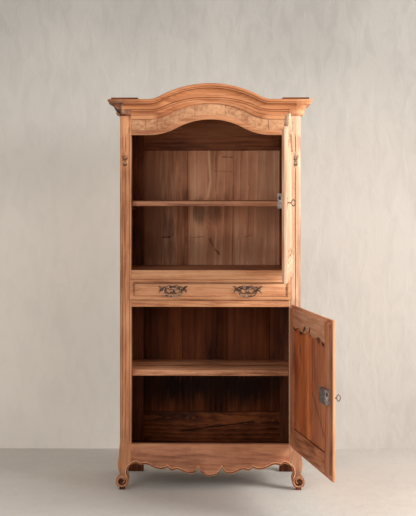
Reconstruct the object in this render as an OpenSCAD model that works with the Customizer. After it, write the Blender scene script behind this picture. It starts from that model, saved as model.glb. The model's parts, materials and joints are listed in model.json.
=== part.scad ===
// A tall French country cupboard with an arched cornice: one carcase that holds an arched
// cupboard above, one drawer in the middle and a square cupboard below.
// Millimetres. The floor is Z = 0, the front looks towards -Y, and the origin is under the
// middle of the carcase. The doors are drawn open and the drawer shut.

/* [Carcase] */
// Width over the two corner stiles
case_w = 936; // [900:1:1000]
// Depth from the front faces to the back
case_d = 500; // [440:1:560]
// Rise of the arch over its springing
arch_rise = 81; // [60:1:95]
// Half of the length that the arch takes
arch_half = 318; // [300:1:330]
// Radius of the crown of the arch along the edge of the opening
crown_r = 361; // [330:1:400]
// Width of the door openings
opening_w = 816; // [780:1:826]

/* [Levels] */
// Height of the top of the scalloped apron above the floor
apron_top = 238; // [230:1:246]
// Height of the lower opening
lower_opening_h = 708; // [694:1:724]
// Height of the rail under the drawer
rail_under_h = 45; // [42:1:50]
// Height of the drawer opening
drawer_opening_h = 86; // [82:1:92]
// Height of the rail over the drawer
rail_over_h = 57; // [50:1:64]
// Height of the straight sides of the upper opening
upper_opening_h = 699; // [680:1:720]
// Height of the frieze and cornice over the springing of the arch
head_h = 183; // [178:1:190]
// Height of the lower shelf above the apron's top
lower_shelf_up = 376; // [304:1:424]
// Height of the upper shelf above the bottom of its opening
upper_shelf_up = 357; // [330:1:370]
// How far the bottom boards lie below the apron's top
bottom_drop = 73; // [66:1:80]
// Height of the bottom rail of the back
back_low_rail_h = 187; // [160:1:200]
// Height of the top rail of the back
back_top_rail_h = 234; // [210:1:250]
// Height of the bottom rail of each side
side_low_rail_h = 155; // [140:1:170]
// Height of the top rail of each side
side_top_rail_h = 136; // [120:1:150]

/* [Frame timbers] */
// Depth of the corner stiles
stile_d = 60; // [54:1:70]
// Radius of the rounded outer corner of a stile
corner_r = 24; // [18:1:30]
// Thickness of the front rails
rail_t = 28; // [24:1:34]
// Width of the planks that make the rear posts
post_w = 94; // [70:1:110]
// Thickness of the rear posts
post_t = 40; // [34:1:46]
// Thickness of the side rails and back rails
side_t = 24; // [20:1:28]
// Thickness of the side panels and back boards
board_t = 10; // [8:1:12]
// Length of a tenon
tenon_l = 22; // [16:1:28]
// Thickness of a tenon
tenon_t = 10; // [8:1:12]
// Depth of the grooves that hold panels
groove_d = 8; // [6:1:10]
// Room left round a tenon and in a groove
slack = 0.2; // [0.1:0.1:0.4]
// Radius of the drawbored pegs
peg_r = 4; // [3:0.5:5]

/* [Carving] */
// Radius of the flutes in the corner stiles
flute_r = 4.2; // [3:0.1:5]
// Greatest drop of the scalloped edge below the apron's top
apron_drop = 167; // [156:1:172]
// Width of the bead that follows the scalloped edge
apron_bead = 6; // [4:1:8]
// Distance of that bead from the edge
bead_in = 8; // [6:1:12]
// How far the carved plumes lie below the springing of the arch
motif_drop = 127; // [120:1:135]
// Radius of a scroll foot
scroll_r = 33; // [28:1:34]
// Height of the pad under a scroll foot
pad_h = 18; // [14:1:24]
// Width of the pad under a scroll foot
pad_w = 28; // [22:1:34]
// Height of the burr band under the cornice
band_h = 54; // [48:1:60]

/* [Cornice] */
// Height of the cornice from its lowest bead to its top
cornice_h = 102; // [95:1:110]
// How far the cornice stands out from the frieze
cornice_out = 58; // [50:1:66]
// Thickness of the flat boards that lie on the ends of the cornice
cap_t = 8; // [5:1:10]

/* [Boards] */
// Thickness of the upper shelf
upper_shelf_t = 26; // [20:1:30]
// Thickness of the lower shelf
lower_shelf_t = 31; // [24:1:34]
// Thickness of the floor, bottom and roof boards
floor_t = 18; // [14:1:20]
// How far the shelves stay behind the front
shelf_set = 45; // [40:1:70]
// Thickness of the cleats under the shelves
cleat_t = 24; // [18:1:26]

/* [Drawer] */
// How far the drawer front laps over the frame
drawer_lip = 8; // [5:1:9]
// Thickness of the lip of the drawer front
drawer_lip_t = 8; // [6:1:10]
// Thickness of the drawer front behind its lip
drawer_front_t = 18; // [14:1:22]
// Thickness of the drawer sides and back
drawer_side_t = 12; // [10:1:14]
// Length of the drawer behind its front
drawer_l = 380; // [300:1:400]
// Running gap beside and over the drawer
drawer_gap = 2; // [1:0.5:3]
// Width of the sunk moulding round the drawer front
drawer_border = 24; // [18:1:28]
// Width of the flat rim outside that moulding
drawer_rim = 14; // [8:1:16]

/* [Pulls] */
// Distance of each pull from the middle of the drawer
pull_x = 193; // [170:1:220]
// Height of the pulls' posts above the middle of the drawer front
pull_up = 3; // [0:1:12]
// Distance between the two posts of a pull
post_span = 114; // [100:1:124]
// Thickness of the openwork plate
plate_t = 2.5; // [2:0.5:3.5]
// Radius of the swinging bail
bail_r = 3; // [2.5:0.1:3.5]
// Drop of the bail below its posts
bail_drop = 34; // [30:1:36]
// How far the bail axis stands in front of the drawer
post_out = 15; // [12:1:18]

/* [Doors] */
// How far the doors lap over the frame
door_lip = 9.5; // [7:0.5:10]
// Thickness of the lip of a door
lip_t = 12; // [10:0.5:13]
// Thickness of the upper door
upper_door_t = 22.5; // [20:0.5:25]
// Thickness of the lower door
lower_door_t = 25; // [22:0.5:27]
// Width of the door stiles
door_stile_w = 98; // [90:1:110]
// Height of the lower rail of the doors
door_rail_h = 110; // [95:1:120]
// Height of the top rail of the doors in the middle
door_head_h = 98; // [90:1:105]
// Running gap between a door and its opening
door_gap = 1.5; // [1:0.5:2.5]
// How far the upper door stands open, in degrees
upper_open = 85.3; // [80:0.1:100]
// How far the lower door stands open, in degrees
lower_open = 100.4; // [90:0.1:110]
// How far the lower door reaches below its opening
lower_door_drop = 14; // [8:1:16]
// Width of the moulding round the door panels
mould_w = 14; // [10:1:18]
// Distance of the joint in the lower door's panel from the middle, towards the lock
panel_joint = 48; // [20:1:120]

/* [Ironwork] */
// Radius of the hinge barrels
barrel_r = 6; // [5:0.1:6.2]
// Length of one half of a hinge barrel
barrel_l = 52; // [44:1:60]
// Radius of the hinge pins
hinge_pin_r = 2.6; // [2:0.1:3]
// Running gap in the hinges and round the key
run_gap = 0.06; // [0.03:0.01:0.09]
// Length of a lock case
lock_l = 112; // [100:1:120]
// Height of a lock case
lock_h = 68; // [60:1:76]
// Thickness of a lock case
lock_t = 20; // [18:1:21]
// Thickness of the walls of a lock case
lock_wall = 2; // [1.5:0.5:2.5]
// Height of the upper lock above the bottom of its opening
upper_lock_up = 368; // [355:1:380]
// Height of the lower lock above the bottom of its opening
lower_lock_up = 369; // [324:1:414]
// Height of the lower hinge of the upper door above the door's bottom
upper_hinge_low = 96; // [80:1:130]
// Distance of the upper hinge of the upper door from the springing of the arch
upper_hinge_high = 225; // [215:1:260]
// Height of the lower hinge of the lower door above the door's bottom
lower_hinge_low = 82; // [70:1:130]
// Distance of the upper hinge of the lower door from the door's top
lower_hinge_high = 136; // [120:1:180]
// Radius of the key shafts
key_r = 3; // [2.5:0.1:3.4]
// How far the keys stand out of the doors
key_out = 39; // [34:1:44]
// How far the bolts travel
bolt_throw = 11; // [9:1:13]

/* [Hidden] */
$fn = 48;

wood = [0.72, 0.47, 0.30];
pale_wood = [0.80, 0.58, 0.38];
dark_wood = [0.36, 0.21, 0.13];
inner_wood = [0.46, 0.28, 0.18];
iron = [0.30, 0.27, 0.25];
bronze = [0.36, 0.29, 0.22];

front = -case_d / 2;
back = case_d / 2;
half_w = case_w / 2;
half_open = opening_w / 2;
lower_head = apron_top + lower_opening_h;
drawer_sill = lower_head + rail_under_h;
drawer_head = drawer_sill + drawer_opening_h;
upper_sill = drawer_head + rail_over_h;
spring_h = upper_sill + upper_opening_h;
shoulder_h = spring_h + head_h;
lower_shelf_top = apron_top + lower_shelf_up;
upper_shelf_top = upper_sill + upper_shelf_up;
bottom_top = apron_top - bottom_drop;
upper_lock_z = upper_sill + upper_lock_up;
lower_lock_z = apron_top + lower_lock_up;
side_out = half_w - 4;
side_in = side_out - side_t;
panel_x = side_in + (side_t - board_t) / 2;
post_x = half_w - post_w;
post_y = back - post_t;
back_out = back - 2;
back_in = back_out - side_t;
back_board_y = back_in + (side_t - board_t) / 2;
rail_back = front + rail_t;
stile_back = front + stile_d;
roof_z = shoulder_h - floor_t;
side_mid_low = lower_head;
side_mid_high = upper_sill;
side_low_foot = bottom_top - 20;
side_low_top = side_low_foot + side_low_rail_h;
side_top_low = roof_z - side_top_rail_h;
back_low_foot = bottom_top - floor_t - 7;
back_low_rail_z = back_low_foot + back_low_rail_h;
back_top_rail_z = roof_z - back_top_rail_h;
rail_shoulder = groove_d + 2;
band_high = head_h - cornice_h - 1;
band_low = band_high - band_h;
eps = 0.01;

// The arch is two tangent arcs on each side, and every line of it is a parallel of the same curve
flank_r = (arch_half * arch_half + arch_rise * arch_rise) / (2 * arch_rise) - crown_r;
turn = asin(arch_half / (crown_r + flank_r));
crown_n = 28;
flank_n = 12;
crown_cz = spring_h + arch_rise - crown_r;
flank_cz = spring_h + flank_r;
function crown_pt(a, off) = [(crown_r + off) * sin(a), crown_cz + (crown_r + off) * cos(a)];
function flank_pt(a, off, s) =
    [s * (arch_half - (flank_r - off) * sin(a)), flank_cz - (flank_r - off) * cos(a)];
function arch_line(off, reach) = concat(
    [[-reach, spring_h + off]],
    [for (i = [0:flank_n]) flank_pt(turn * i / flank_n, off, -1)],
    [for (i = [1:crown_n - 1]) crown_pt(turn * (2 * i / crown_n - 1), off)],
    [for (i = [flank_n:-1:0]) flank_pt(turn * i / flank_n, off, 1)],
    [[reach, spring_h + off]]);
function flip(pts) = [for (i = [len(pts) - 1:-1:0]) pts[i]];
function mirrored(pts) = [for (p = pts) [-p[0], p[1]]];

// Outline shapes in the front view are drawn in X and Z and pushed back along Y
module slab(y0, y1) { translate([0, y1, 0]) rotate([90, 0, 0]) linear_extrude(y1 - y0) children(); }
module block(x0, x1, y0, y1, z0, z1) {
    translate([min(x0, x1), y0, z0]) cube([abs(x1 - x0), y1 - y0, z1 - z0]);
}
module both() { children(); mirror([1, 0, 0]) children(); }
function bow(p0, p1, p2, n) = [for (i = [0:n - 1]) let (t = i / n)
    p0 * (1 - t) * (1 - t) + p1 * 2 * t * (1 - t) + p2 * t * t];

// The scalloped lower edge, from the middle outwards: each bow goes from one point to the next
// by way of a control point, in shares of half the opening and of the apron's greatest drop
scallop_shares = concat(
    bow([0, 1], [0.103, 1.006], [0.147, 0.737], 8),
    bow([0.147, 0.737], [0.181, 0.924], [0.240, 0.924], 7),
    bow([0.240, 0.924], [0.299, 0.924], [0.358, 0.842], 5),
    bow([0.358, 0.842], [0.422, 0.760], [0.475, 0.825], 5),
    bow([0.475, 0.825], [0.510, 0.830], [0.537, 0.719], 5),
    bow([0.537, 0.719], [0.569, 0.795], [0.632, 0.789], 5),
    bow([0.632, 0.789], [0.696, 0.772], [0.765, 0.673], 5),
    bow([0.765, 0.673], [0.819, 0.608], [0.885, 0.667], 5),
    bow([0.885, 0.667], [0.926, 0.579], [0.966, 0.596], 4));
scallop = [for (p = scallop_shares) [p[0] * half_open, apron_top - p[1] * apron_drop]];
knee_edge = [half_open, apron_top - 0.649 * apron_drop];
apron_edge = concat(mirrored(flip(scallop)), [for (i = [1:len(scallop) - 1]) scallop[i]]);

// Front timbers
rail_spots = [[drawer_head, upper_sill], [lower_head, drawer_sill], [apron_top - 78, apron_top - 12]];
module tenons(z0, z1) {
    both() block(half_open - eps, half_open + tenon_l, front + 9, front + 9 + tenon_t, z0 + 6, z1 - 6);
}
module front_mortise(z0, z1) {
    block(half_open - 1, half_open + tenon_l + 1, front + 9 - slack, front + 9 + tenon_t + slack,
        z0 + 6 - slack, z1 - 6 + slack);
}
module side_mortise(z0, z1) {
    block(panel_x, panel_x + board_t, stile_back - tenon_l - 1, stile_back + 1,
        z0 + rail_shoulder - slack, z1 - rail_shoulder + slack);
}
side_rail_spots = [[side_low_foot, side_low_top], [side_mid_low, side_mid_high],
    [side_top_low, roof_z]];

flute_top = spring_h;
flute_low = apron_top + 8;
motif_z = spring_h - motif_drop;
motif_x = half_w - 26;
module flute(x, y) {
    for (span = [[flute_low, motif_z - 42], [motif_z + 44, flute_top - 6]]) {
        translate([x, y, span[0]]) cylinder(r = flute_r, h = span[1] - span[0]);
        for (z = span) translate([x, y, z]) sphere(r = flute_r);
    }
}
module flutes() {
    flute(half_w - corner_r - 5.5, front - 1.4);
    for (a = [20, 50]) {
        flute(half_w - corner_r + (corner_r + 1.4) * sin(a), front + corner_r - (corner_r + 1.4) * cos(a));
    }
}
// A little plume over a bud, carved at the top of each stile and wrapped round its corner
module motif() {
    intersection() {
        union() {
            block(half_open, half_w - corner_r, front - 2, stile_back - 1, motif_z - 40, motif_z + 40);
            translate([half_w - corner_r, front + corner_r, motif_z - 40]) cylinder(r = corner_r + 2, h = 80);
        }
        union() {
            for (a = [-36, 0, 36]) {
                translate([motif_x, front, motif_z]) rotate([90, a, 0]) translate([0, 0, -14]) linear_extrude(18)
                    polygon(concat(bow([0, 0], [8, 12], [0, 32], 8), bow([0, 32], [-8, 12], [0, 0], 8)));
            }
            translate([motif_x, front + 1, motif_z - 17]) sphere(r = 7);
            translate([motif_x, front + 3, motif_z - 5]) rotate([90, 0, 0]) cylinder(r = 4.5, h = 8);
        }
    }
}

// The scroll foot in the front view, right side, measured from the edge of the opening
scroll_x = half_w - 12;
scroll_z = pad_h - 2 + scroll_r - 6;
leg_edge = concat(
    bow([half_w - 36, 22], [half_w - 52, 48], [half_w - 48, 66], 6),
    bow([half_w - 48, 66], [half_w - 38, 88], [half_w - 42, 98], 6),
    bow([half_w - 42, 98], [half_w - 46, 126], knee_edge, 6),
    [knee_edge]);
foot_outline = concat(
    [[half_open, apron_top], [half_w, apron_top]],
    bow([half_w, apron_top], [half_w + 3, 170], [half_w + 10, 138], 6),
    bow([half_w + 10, 138], [half_w + 11, 104], [half_w - 6, 72], 8),
    [[scroll_x, scroll_z + 20], [scroll_x - 8, scroll_z - scroll_r + 8]],
    leg_edge);
bead_out = 2;
leg_bead = [for (p = leg_edge) if (p[1] > scroll_z + 8) p];
eye_r = 7;
// One and a half turns of a spiral, cut a little way into the face of the scroll
function spiral_r(a) = eye_r + 2 + (scroll_r - 9 - eye_r) * a / 450;
spiral_line = [for (a = [0:15:450]) spiral_r(a) * [cos(a + 200), sin(a + 200)]];
spiral_back = [for (a = [450:-15:0]) (spiral_r(a) + 4) * [cos(a + 200), sin(a + 200)]];
scroll_front = front - 4;
scroll_back = front + 52;
module scroll_foot() {
    difference() {
        union() {
            slab(front, scroll_back) polygon(foot_outline);
            slab(scroll_front, scroll_back - 6) translate([scroll_x, scroll_z]) circle(r = scroll_r);
            slab(front - bead_out, front + eps) polygon(concat(
                [for (p = leg_bead) p + [bead_in, 0]], flip([for (p = leg_bead) p + [bead_in + apron_bead, 0]])));
        }
        slab(scroll_front - 1, scroll_front + 5) translate([scroll_x, scroll_z])
            polygon(concat(spiral_line, spiral_back));
        slab(scroll_front - 1, scroll_front + 9) translate([scroll_x, scroll_z]) circle(r = eye_r);
        block(scroll_x - 60, scroll_x + 60, front - 20, back, -20, pad_h);
    }
}
module stile_plan() {
    difference() {
        translate([half_open, front]) square([half_w - half_open, stile_d]);
        translate([half_w - corner_r, front]) square([corner_r + 1, corner_r]);
        translate([half_open + door_lip - 2, front - 1]) square([3, 4]);
    }
    intersection() {
        translate([half_w - corner_r, front + corner_r]) circle(r = corner_r);
        translate([half_w - corner_r, front]) square([corner_r, corner_r]);
    }
}
module front_stile() {
    color(wood) difference() {
        union() {
            translate([0, 0, apron_top - 2]) linear_extrude(shoulder_h - apron_top + 2) stile_plan();
            translate([0, 0, 130]) linear_extrude(apron_top - 130) intersection() {
                stile_plan();
                translate([half_open, front]) square([half_w, stile_d]);
            }
            scroll_foot();
            motif();
        }
        flutes();
        for (s = rail_spots) front_mortise(s[0], s[1]);
        front_mortise(spring_h + 6, shoulder_h - 6);
        for (s = side_rail_spots) side_mortise(s[0], s[1]);
        block(panel_x - slack, panel_x + board_t + slack, stile_back - groove_d - 0.5, stile_back + 1,
            side_low_top - 12, side_top_low + 12);
        pegs(peg_r + 0.02);
    }
}
module front_stile_right() {
    difference() {
        front_stile();
        color(wood) for (z = hinge_spots) {
            block(hinge_x - leaf_t / 2 - slack, hinge_x + leaf_t / 2 + slack, front - 1,
                front + leaf_in + 0.5, z - barrel_l - slack, z + slack);
        }
    }
}
module front_stile_left() {
    difference() {
        mirror([1, 0, 0]) front_stile();
        // Pockets that take the lock bolts
        for (z = [upper_lock_z, lower_lock_z]) {
            block(-half_open - bolt_throw - 4, -half_open + 1, front + 8, rail_back + 6,
                z + bolt_z - 2, z + bolt_z + bolt_h + 2);
        }
    }
}
module foot_pads() {
    color(dark_wood) both() {
        block(scroll_x - pad_w / 2, scroll_x + pad_w / 2, front + 4, front + 4 + pad_w, 0, pad_h);
    }
}
// Pegs that lock the tenons, flush in the faces of the stiles
peg_zs = [spring_h + 63, spring_h + 27, drawer_head + 16, drawer_sill - 16, apron_top - 30];
module pegs(r) {
    for (z = peg_zs) {
        translate([half_open + 13.5, rail_back - 2, z]) rotate([90, 0, 0]) cylinder(r = r, h = rail_t - 1.6);
    }
}
module frame_pegs() { color(dark_wood) both() pegs(peg_r); }

module rear_post() {
    color(dark_wood) difference() {
        block(post_x, half_w, post_y, back, 0, shoulder_h);
        for (s = side_rail_spots) {
            block(panel_x, panel_x + board_t, post_y - 1, post_y + tenon_l + 1,
                s[0] + rail_shoulder - slack, s[1] - rail_shoulder + slack);
        }
        block(panel_x - slack, panel_x + board_t + slack, post_y - 1, post_y + groove_d + 0.5,
            side_low_top - 12, side_top_low + 12);
        for (s = back_rail_spots) {
            block(post_x - 1, post_x + tenon_l + 1, back_board_y, back_board_y + board_t,
                s[0] + rail_shoulder - slack, s[1] - rail_shoulder + slack);
        }
        block(post_x - 1, post_x + groove_d + 0.5, back_board_y - slack, back_board_y + board_t + slack,
            back_low_rail_z - 12, back_top_rail_z + 12);
    }
}
module rear_post_left() { mirror([1, 0, 0]) rear_post(); }
module rear_post_right() { rear_post(); }

module frieze_rail() {
    color(wood) difference() {
        union() {
            slab(front, rail_back)
                polygon(concat(arch_line(0, half_open), flip(arch_line(head_h, half_open))));
            tenons(spring_h + 6, shoulder_h - 6);
        }
        slab(front - 1, front + 3)
            polygon(concat(arch_line(band_low, band_x), flip(arch_line(band_high, band_x))));
        both() pegs(peg_r + 0.02);
    }
}
band_x = half_open - 3;
// The burr band is a row of separate blocks, butted with upright joints
band_joints = [-band_x, -336, -250, -165, -82, 8, 77, 160, 232, 300, band_x];
module frieze_band() {
    color(pale_wood) for (i = [0:len(band_joints) - 2]) {
        intersection() {
            slab(front - 0.6, front + 2.9)
                polygon(concat(arch_line(band_low + slack, band_x - slack),
                    flip(arch_line(band_high - slack, band_x - slack))));
            block(band_joints[i] + 0.3, band_joints[i + 1] - 0.3, front - 5, front + 5, spring_h, shoulder_h + 99);
        }
    }
}
module rail_over_drawer() {
    color(wood) difference() {
        union() {
            block(-half_open, half_open, front, rail_back, drawer_head, upper_sill);
            tenons(drawer_head, upper_sill);
        }
        both() pegs(peg_r + 0.02);
    }
}
module rail_under_drawer() {
    color(wood) difference() {
        union() {
            block(-half_open, half_open, front, rail_back, lower_head, drawer_sill);
            tenons(lower_head, drawer_sill);
        }
        both() pegs(peg_r + 0.02);
    }
}
module apron() {
    color(wood) difference() {
        union() {
            slab(front, rail_back) polygon(concat([[-knee_edge[0], knee_edge[1]]], apron_edge,
                [knee_edge, [half_open, apron_top], [-half_open, apron_top]]));
            slab(front - bead_out, front + eps) polygon(concat(
                shifted(apron_edge, bead_in), flip(shifted(apron_edge, bead_in + apron_bead))));
            tenons(apron_top - 78, apron_top - 12);
        }
        both() pegs(peg_r + 0.02);
    }
}

// Sides: three rails and two raised panels on each side
module side_rail(z0, z1) {
    block(side_in, side_out, stile_back, post_y, z0, z1);
    block(panel_x + slack, panel_x + board_t - slack, stile_back - tenon_l, post_y + tenon_l,
        z0 + rail_shoulder, z1 - rail_shoulder);
}
module side_rails() {
    color(wood) difference() {
        for (s = side_rail_spots) side_rail(s[0], s[1]);
        for (z = [[side_low_top - groove_d - 0.5, side_low_top + 1], [side_mid_low - 1, side_mid_low + groove_d + 0.5],
            [side_mid_high - groove_d - 0.5, side_mid_high + 1], [side_top_low - 1, side_top_low + groove_d + 0.5]]) {
            block(panel_x - slack, panel_x + board_t + slack, stile_back - 1, post_y + 1, z[0], z[1]);
        }
    }
}
module side_rails_left() { mirror([1, 0, 0]) side_rails(); }
module side_rails_right() { side_rails(); }
field_in = 40;
module side_panel(z0, z1) {
    block(panel_x, panel_x + board_t, stile_back - groove_d, post_y + groove_d, z0 - groove_d, z1 + groove_d);
    block(panel_x + board_t - eps, side_out - 1, stile_back + field_in, post_y - field_in,
        z0 + field_in, z1 - field_in);
}
module side_panels() {
    color(wood) {
        side_panel(side_low_top, side_mid_low);
        side_panel(side_mid_high, side_top_low);
    }
}
module side_panels_left() { mirror([1, 0, 0]) side_panels(); }
module side_panels_right() { side_panels(); }

// Back: three rails with upright boards in their grooves
back_rail_spots = [[back_low_foot, back_low_rail_z], [side_mid_low, side_mid_high],
    [back_top_rail_z, roof_z]];
module back_rail(i, groove_low, groove_high) {
    z0 = back_rail_spots[i][0];
    z1 = back_rail_spots[i][1];
    color(dark_wood) difference() {
        union() {
            block(-post_x, post_x, back_in, back_out, z0, z1);
            both() block(post_x - eps, post_x + tenon_l, back_board_y + slack, back_board_y + board_t - slack,
                z0 + rail_shoulder, z1 - rail_shoulder);
        }
        if (groove_low) {
            block(-post_x - 1, post_x + 1, back_board_y - slack, back_board_y + board_t + slack,
                z0 - 1, z0 + groove_d + 0.5);
        }
        if (groove_high) {
            block(-post_x - 1, post_x + 1, back_board_y - slack, back_board_y + board_t + slack,
                z1 - groove_d - 0.5, z1 + 1);
        }
    }
}
module back_rail_bottom() { back_rail(0, false, true); }
module back_rail_middle() { back_rail(1, true, true); }
module back_rail_top() { back_rail(2, true, false); }
// Upright boards with half-thickness laps, so that no light comes through between them
board_lap = 8;
board_gap = 0.4;
module boards(joints, z0, z1) {
    half_t = board_t / 2 - slack / 2;
    for (i = [0:len(joints) - 2]) {
        x0 = joints[i] + board_gap;
        x1 = joints[i + 1] - board_gap;
        low_lap = i == 0 ? 0 : board_lap;
        high_lap = i == len(joints) - 2 ? 0 : board_lap;
        translate([0, back_board_y, z0 - groove_d]) linear_extrude(z1 - z0 + 2 * groove_d) {
            translate([x0, 0]) square([x1 - x0, half_t]);
            translate([x0 + low_lap, 0]) square([x1 - x0 - low_lap, board_t]);
            translate([x1 - 1, board_t - half_t]) square([1 + high_lap, half_t]);
        }
    }
}
back_reach = post_x + groove_d;
module back_boards_upper() {
    color(inner_wood) boards([-back_reach, -131, 119, back_reach], side_mid_high, back_top_rail_z);
}
module back_boards_lower() {
    color(inner_wood) boards([-back_reach, -161, 86, 320, back_reach], back_low_rail_z, side_mid_low);
}

// Cornice: one profile, given as distance below the top and distance out from the face
function arc_pts(c, r, a0, a1, n) = [for (i = [0:n]) let (a = a0 + (a1 - a0) * i / n)
    c + r * [cos(a), sin(a)]];
high_part = concat(
    [[0, 0], [0, cornice_out - 6]],
    arc_pts([8, cornice_out - 8], 8, 160, 20, 6),
    [[18, cornice_out - 8], [25, cornice_out - 8], [26, cornice_out - 12]],
    [for (i = [1:7]) let (a = 90 * i / 8) [26 + 24 * (1 - cos(a)), cornice_out - 12 - 22 * sin(a)]],
    [[50, cornice_out - 34]]);
low_part = concat(
    [[54, cornice_out - 34], [54, 20]],
    [for (i = [0:6]) let (a = 180 * i / 6) [63.5 - 6.5 * cos(a), 20 + 6 * sin(a)]],
    [[71, 17], [85, 17]],
    [for (i = [0:6]) let (a = 180 * i / 6) [91 - 5 * cos(a), 14 + 6 * sin(a)]],
    [for (i = [1:4]) let (a = 90 * i / 4) [96 + (cornice_h - 96) * sin(a), 3 + 11 * (1 - sin(a))]],
    [[cornice_h, 0]]);
high_member = concat(high_part, [[50, 0]]);
low_member = concat([[50, 0], [50, cornice_out - 34]], low_part);
// Over the stiles a plain rounded block takes the place of the low members
end_drop = cornice_h - 18;
end_member = concat([[50, 0], [50, cornice_out - 34], [54, cornice_out - 34], [54, 19]],
    [for (i = [0:5]) let (a = 90 * i / 5) [end_drop - 14 * (1 - sin(a)), 19 * cos(a)]]);
function sweep_faces(rings, m) = concat(
    [[for (j = [m - 1:-1:0]) j]],
    [for (i = [0:rings - 2], j = [0:m - 1])
        [i * m + j, i * m + (j + 1) % m, (i + 1) * m + (j + 1) % m, (i + 1) * m + j]],
    [[for (j = [0:m - 1]) (rings - 1) * m + j]]);
joint_x = half_w - corner_r - 1;
function station(i, off, reach) =
    i == 0 ? [-reach, spring_h + off] :
    i <= flank_n + 1 ? flank_pt(turn * (i - 1) / flank_n, off, -1) :
    i <= flank_n + crown_n ? crown_pt(turn * (2 * (i - flank_n - 1) / crown_n - 1), off) :
    i <= 2 * flank_n + crown_n + 1 ? flank_pt(turn * (2 * flank_n + crown_n + 1 - i) / flank_n, off, 1) :
    [reach, spring_h + off];
stations = 2 * flank_n + crown_n + 3;
module arched_sweep(member, reach) {
    pts = [for (i = [0:stations - 1], p = member)
        let (s = station(i, head_h - p[0], reach)) [s[0], front - p[1], s[1]]];
    polyhedron(points = pts, faces = sweep_faces(stations, len(member)), convexity = 6);
}
module cornice_front() {
    color(wood) {
        arched_sweep(high_member, joint_x);
        arched_sweep(low_member, half_open);
    }
}
// The ends turn the corner: the high members with a mitre, the low members round the stile
module corner_sweep(part, rings) {
    pts = [for (r = rings, p = part) [r[0] + r[2] * p[1], r[1] + r[3] * p[1], shoulder_h - p[0]]];
    polyhedron(points = pts, faces = sweep_faces(len(rings), len(part)), convexity = 6);
}
module cornice_end() {
    hug = corner_r + 0.3;
    color(wood) {
        corner_sweep(high_member, [
            [joint_x, front, 0, -1], [half_w, front, 1, -1], [half_w, back, 1, 0]]);
        corner_sweep(end_member, concat(
            [[half_open + 0.1, front, 0, -1], [joint_x, front, 0, -1]],
            [for (a = [0:15:90]) [half_w - corner_r + hug * sin(a), front + corner_r - hug * cos(a), sin(a), -cos(a)]],
            [[half_w + 0.3, back, 1, 0]]));
    }
}
module cornice_end_right() { cornice_end(); }
module cornice_end_left() { mirror([1, 0, 0]) cornice_end(); }

roof_joints = [-half_w + 6, -170, 140, half_w - 6];
module roof_boards() {
    color(dark_wood) difference() {
        for (i = [0:2]) {
            block(roof_joints[i] + 0.3, roof_joints[i + 1] - 0.3, rail_back, back_out, roof_z, roof_z + floor_t - 0.5);
        }
        floor_cut();
    }
}
module cap_boards() {
    color(dark_wood) both() block(half_open - 36, half_w + cornice_out - 18, front - cornice_out + 10, back,
        shoulder_h, shoulder_h + cap_t);
}

// Boards inside
module notched_board(y0, x_out) {
    polygon([[-half_open + 1, y0], [half_open - 1, y0], [half_open - 1, stile_back + 0.5], [x_out, stile_back + 0.5],
        [x_out, post_y - 0.5], [post_x - 1, post_y - 0.5], [post_x - 1, back_in - 0.3],
        [-post_x + 1, back_in - 0.3], [-post_x + 1, post_y - 0.5], [-x_out, post_y - 0.5],
        [-x_out, stile_back + 0.5], [-half_open + 1, stile_back + 0.5]]);
}
shelf_front = front + shelf_set;
module upper_shelf() {
    color(inner_wood) translate([0, 0, upper_shelf_top - upper_shelf_t]) linear_extrude(upper_shelf_t)
        notched_board(shelf_front, panel_x - 0.3);
}
module lower_shelf() {
    color(inner_wood) translate([0, 0, lower_shelf_top - lower_shelf_t]) linear_extrude(lower_shelf_t)
        difference() {
            notched_board(shelf_front, panel_x - 0.3);
            translate([-half_w, 4]) square([case_w, 1.2]);
        }
}
module shelf_cleats() {
    color(dark_wood) for (z = [upper_shelf_top - upper_shelf_t, lower_shelf_top - lower_shelf_t]) {
        both() block(half_open + 6, panel_x, stile_back, post_y, z - cleat_t, z);
    }
}
module upper_floor() {
    color(inner_wood) difference() {
        block(-side_in + 0.3, side_in - 0.3, rail_back, back_in - 0.3, upper_sill - floor_t, upper_sill - 0.3);
        floor_cut();
    }
}
module floor_cut() {
    both() {
        block(half_open - 1, half_w, front, stile_back + 0.3, 0, shoulder_h);
        block(post_x - 0.5, half_w, post_y - 0.3, back, 0, shoulder_h);
    }
}
guide_w = half_open - drawer_gap;
runner_top = drawer_sill;
module drawer_runners() {
    color(dark_wood) difference() {
        both() {
            block(half_open - 34, side_in, rail_back, post_y, runner_top - 20, runner_top);
            block(guide_w + 1, side_in, stile_back, post_y, runner_top - eps, upper_sill - floor_t);
        }
        floor_cut();
    }
}
module bottom_boards() {
    color(dark_wood) difference() {
        for (y = [[rail_back, -86], [-85, 84], [85, back_in - 0.3]]) {
            block(-side_in + 0.3, side_in - 0.3, y[0], y[1], bottom_top - floor_t, bottom_top);
        }
        floor_cut();
    }
}
bearer_w = 30;
module bottom_bearers() {
    color(dark_wood) both() {
        block(half_open + 2, side_in, stile_back, post_y, bottom_top - floor_t - bearer_w, bottom_top - floor_t);
    }
}

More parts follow.
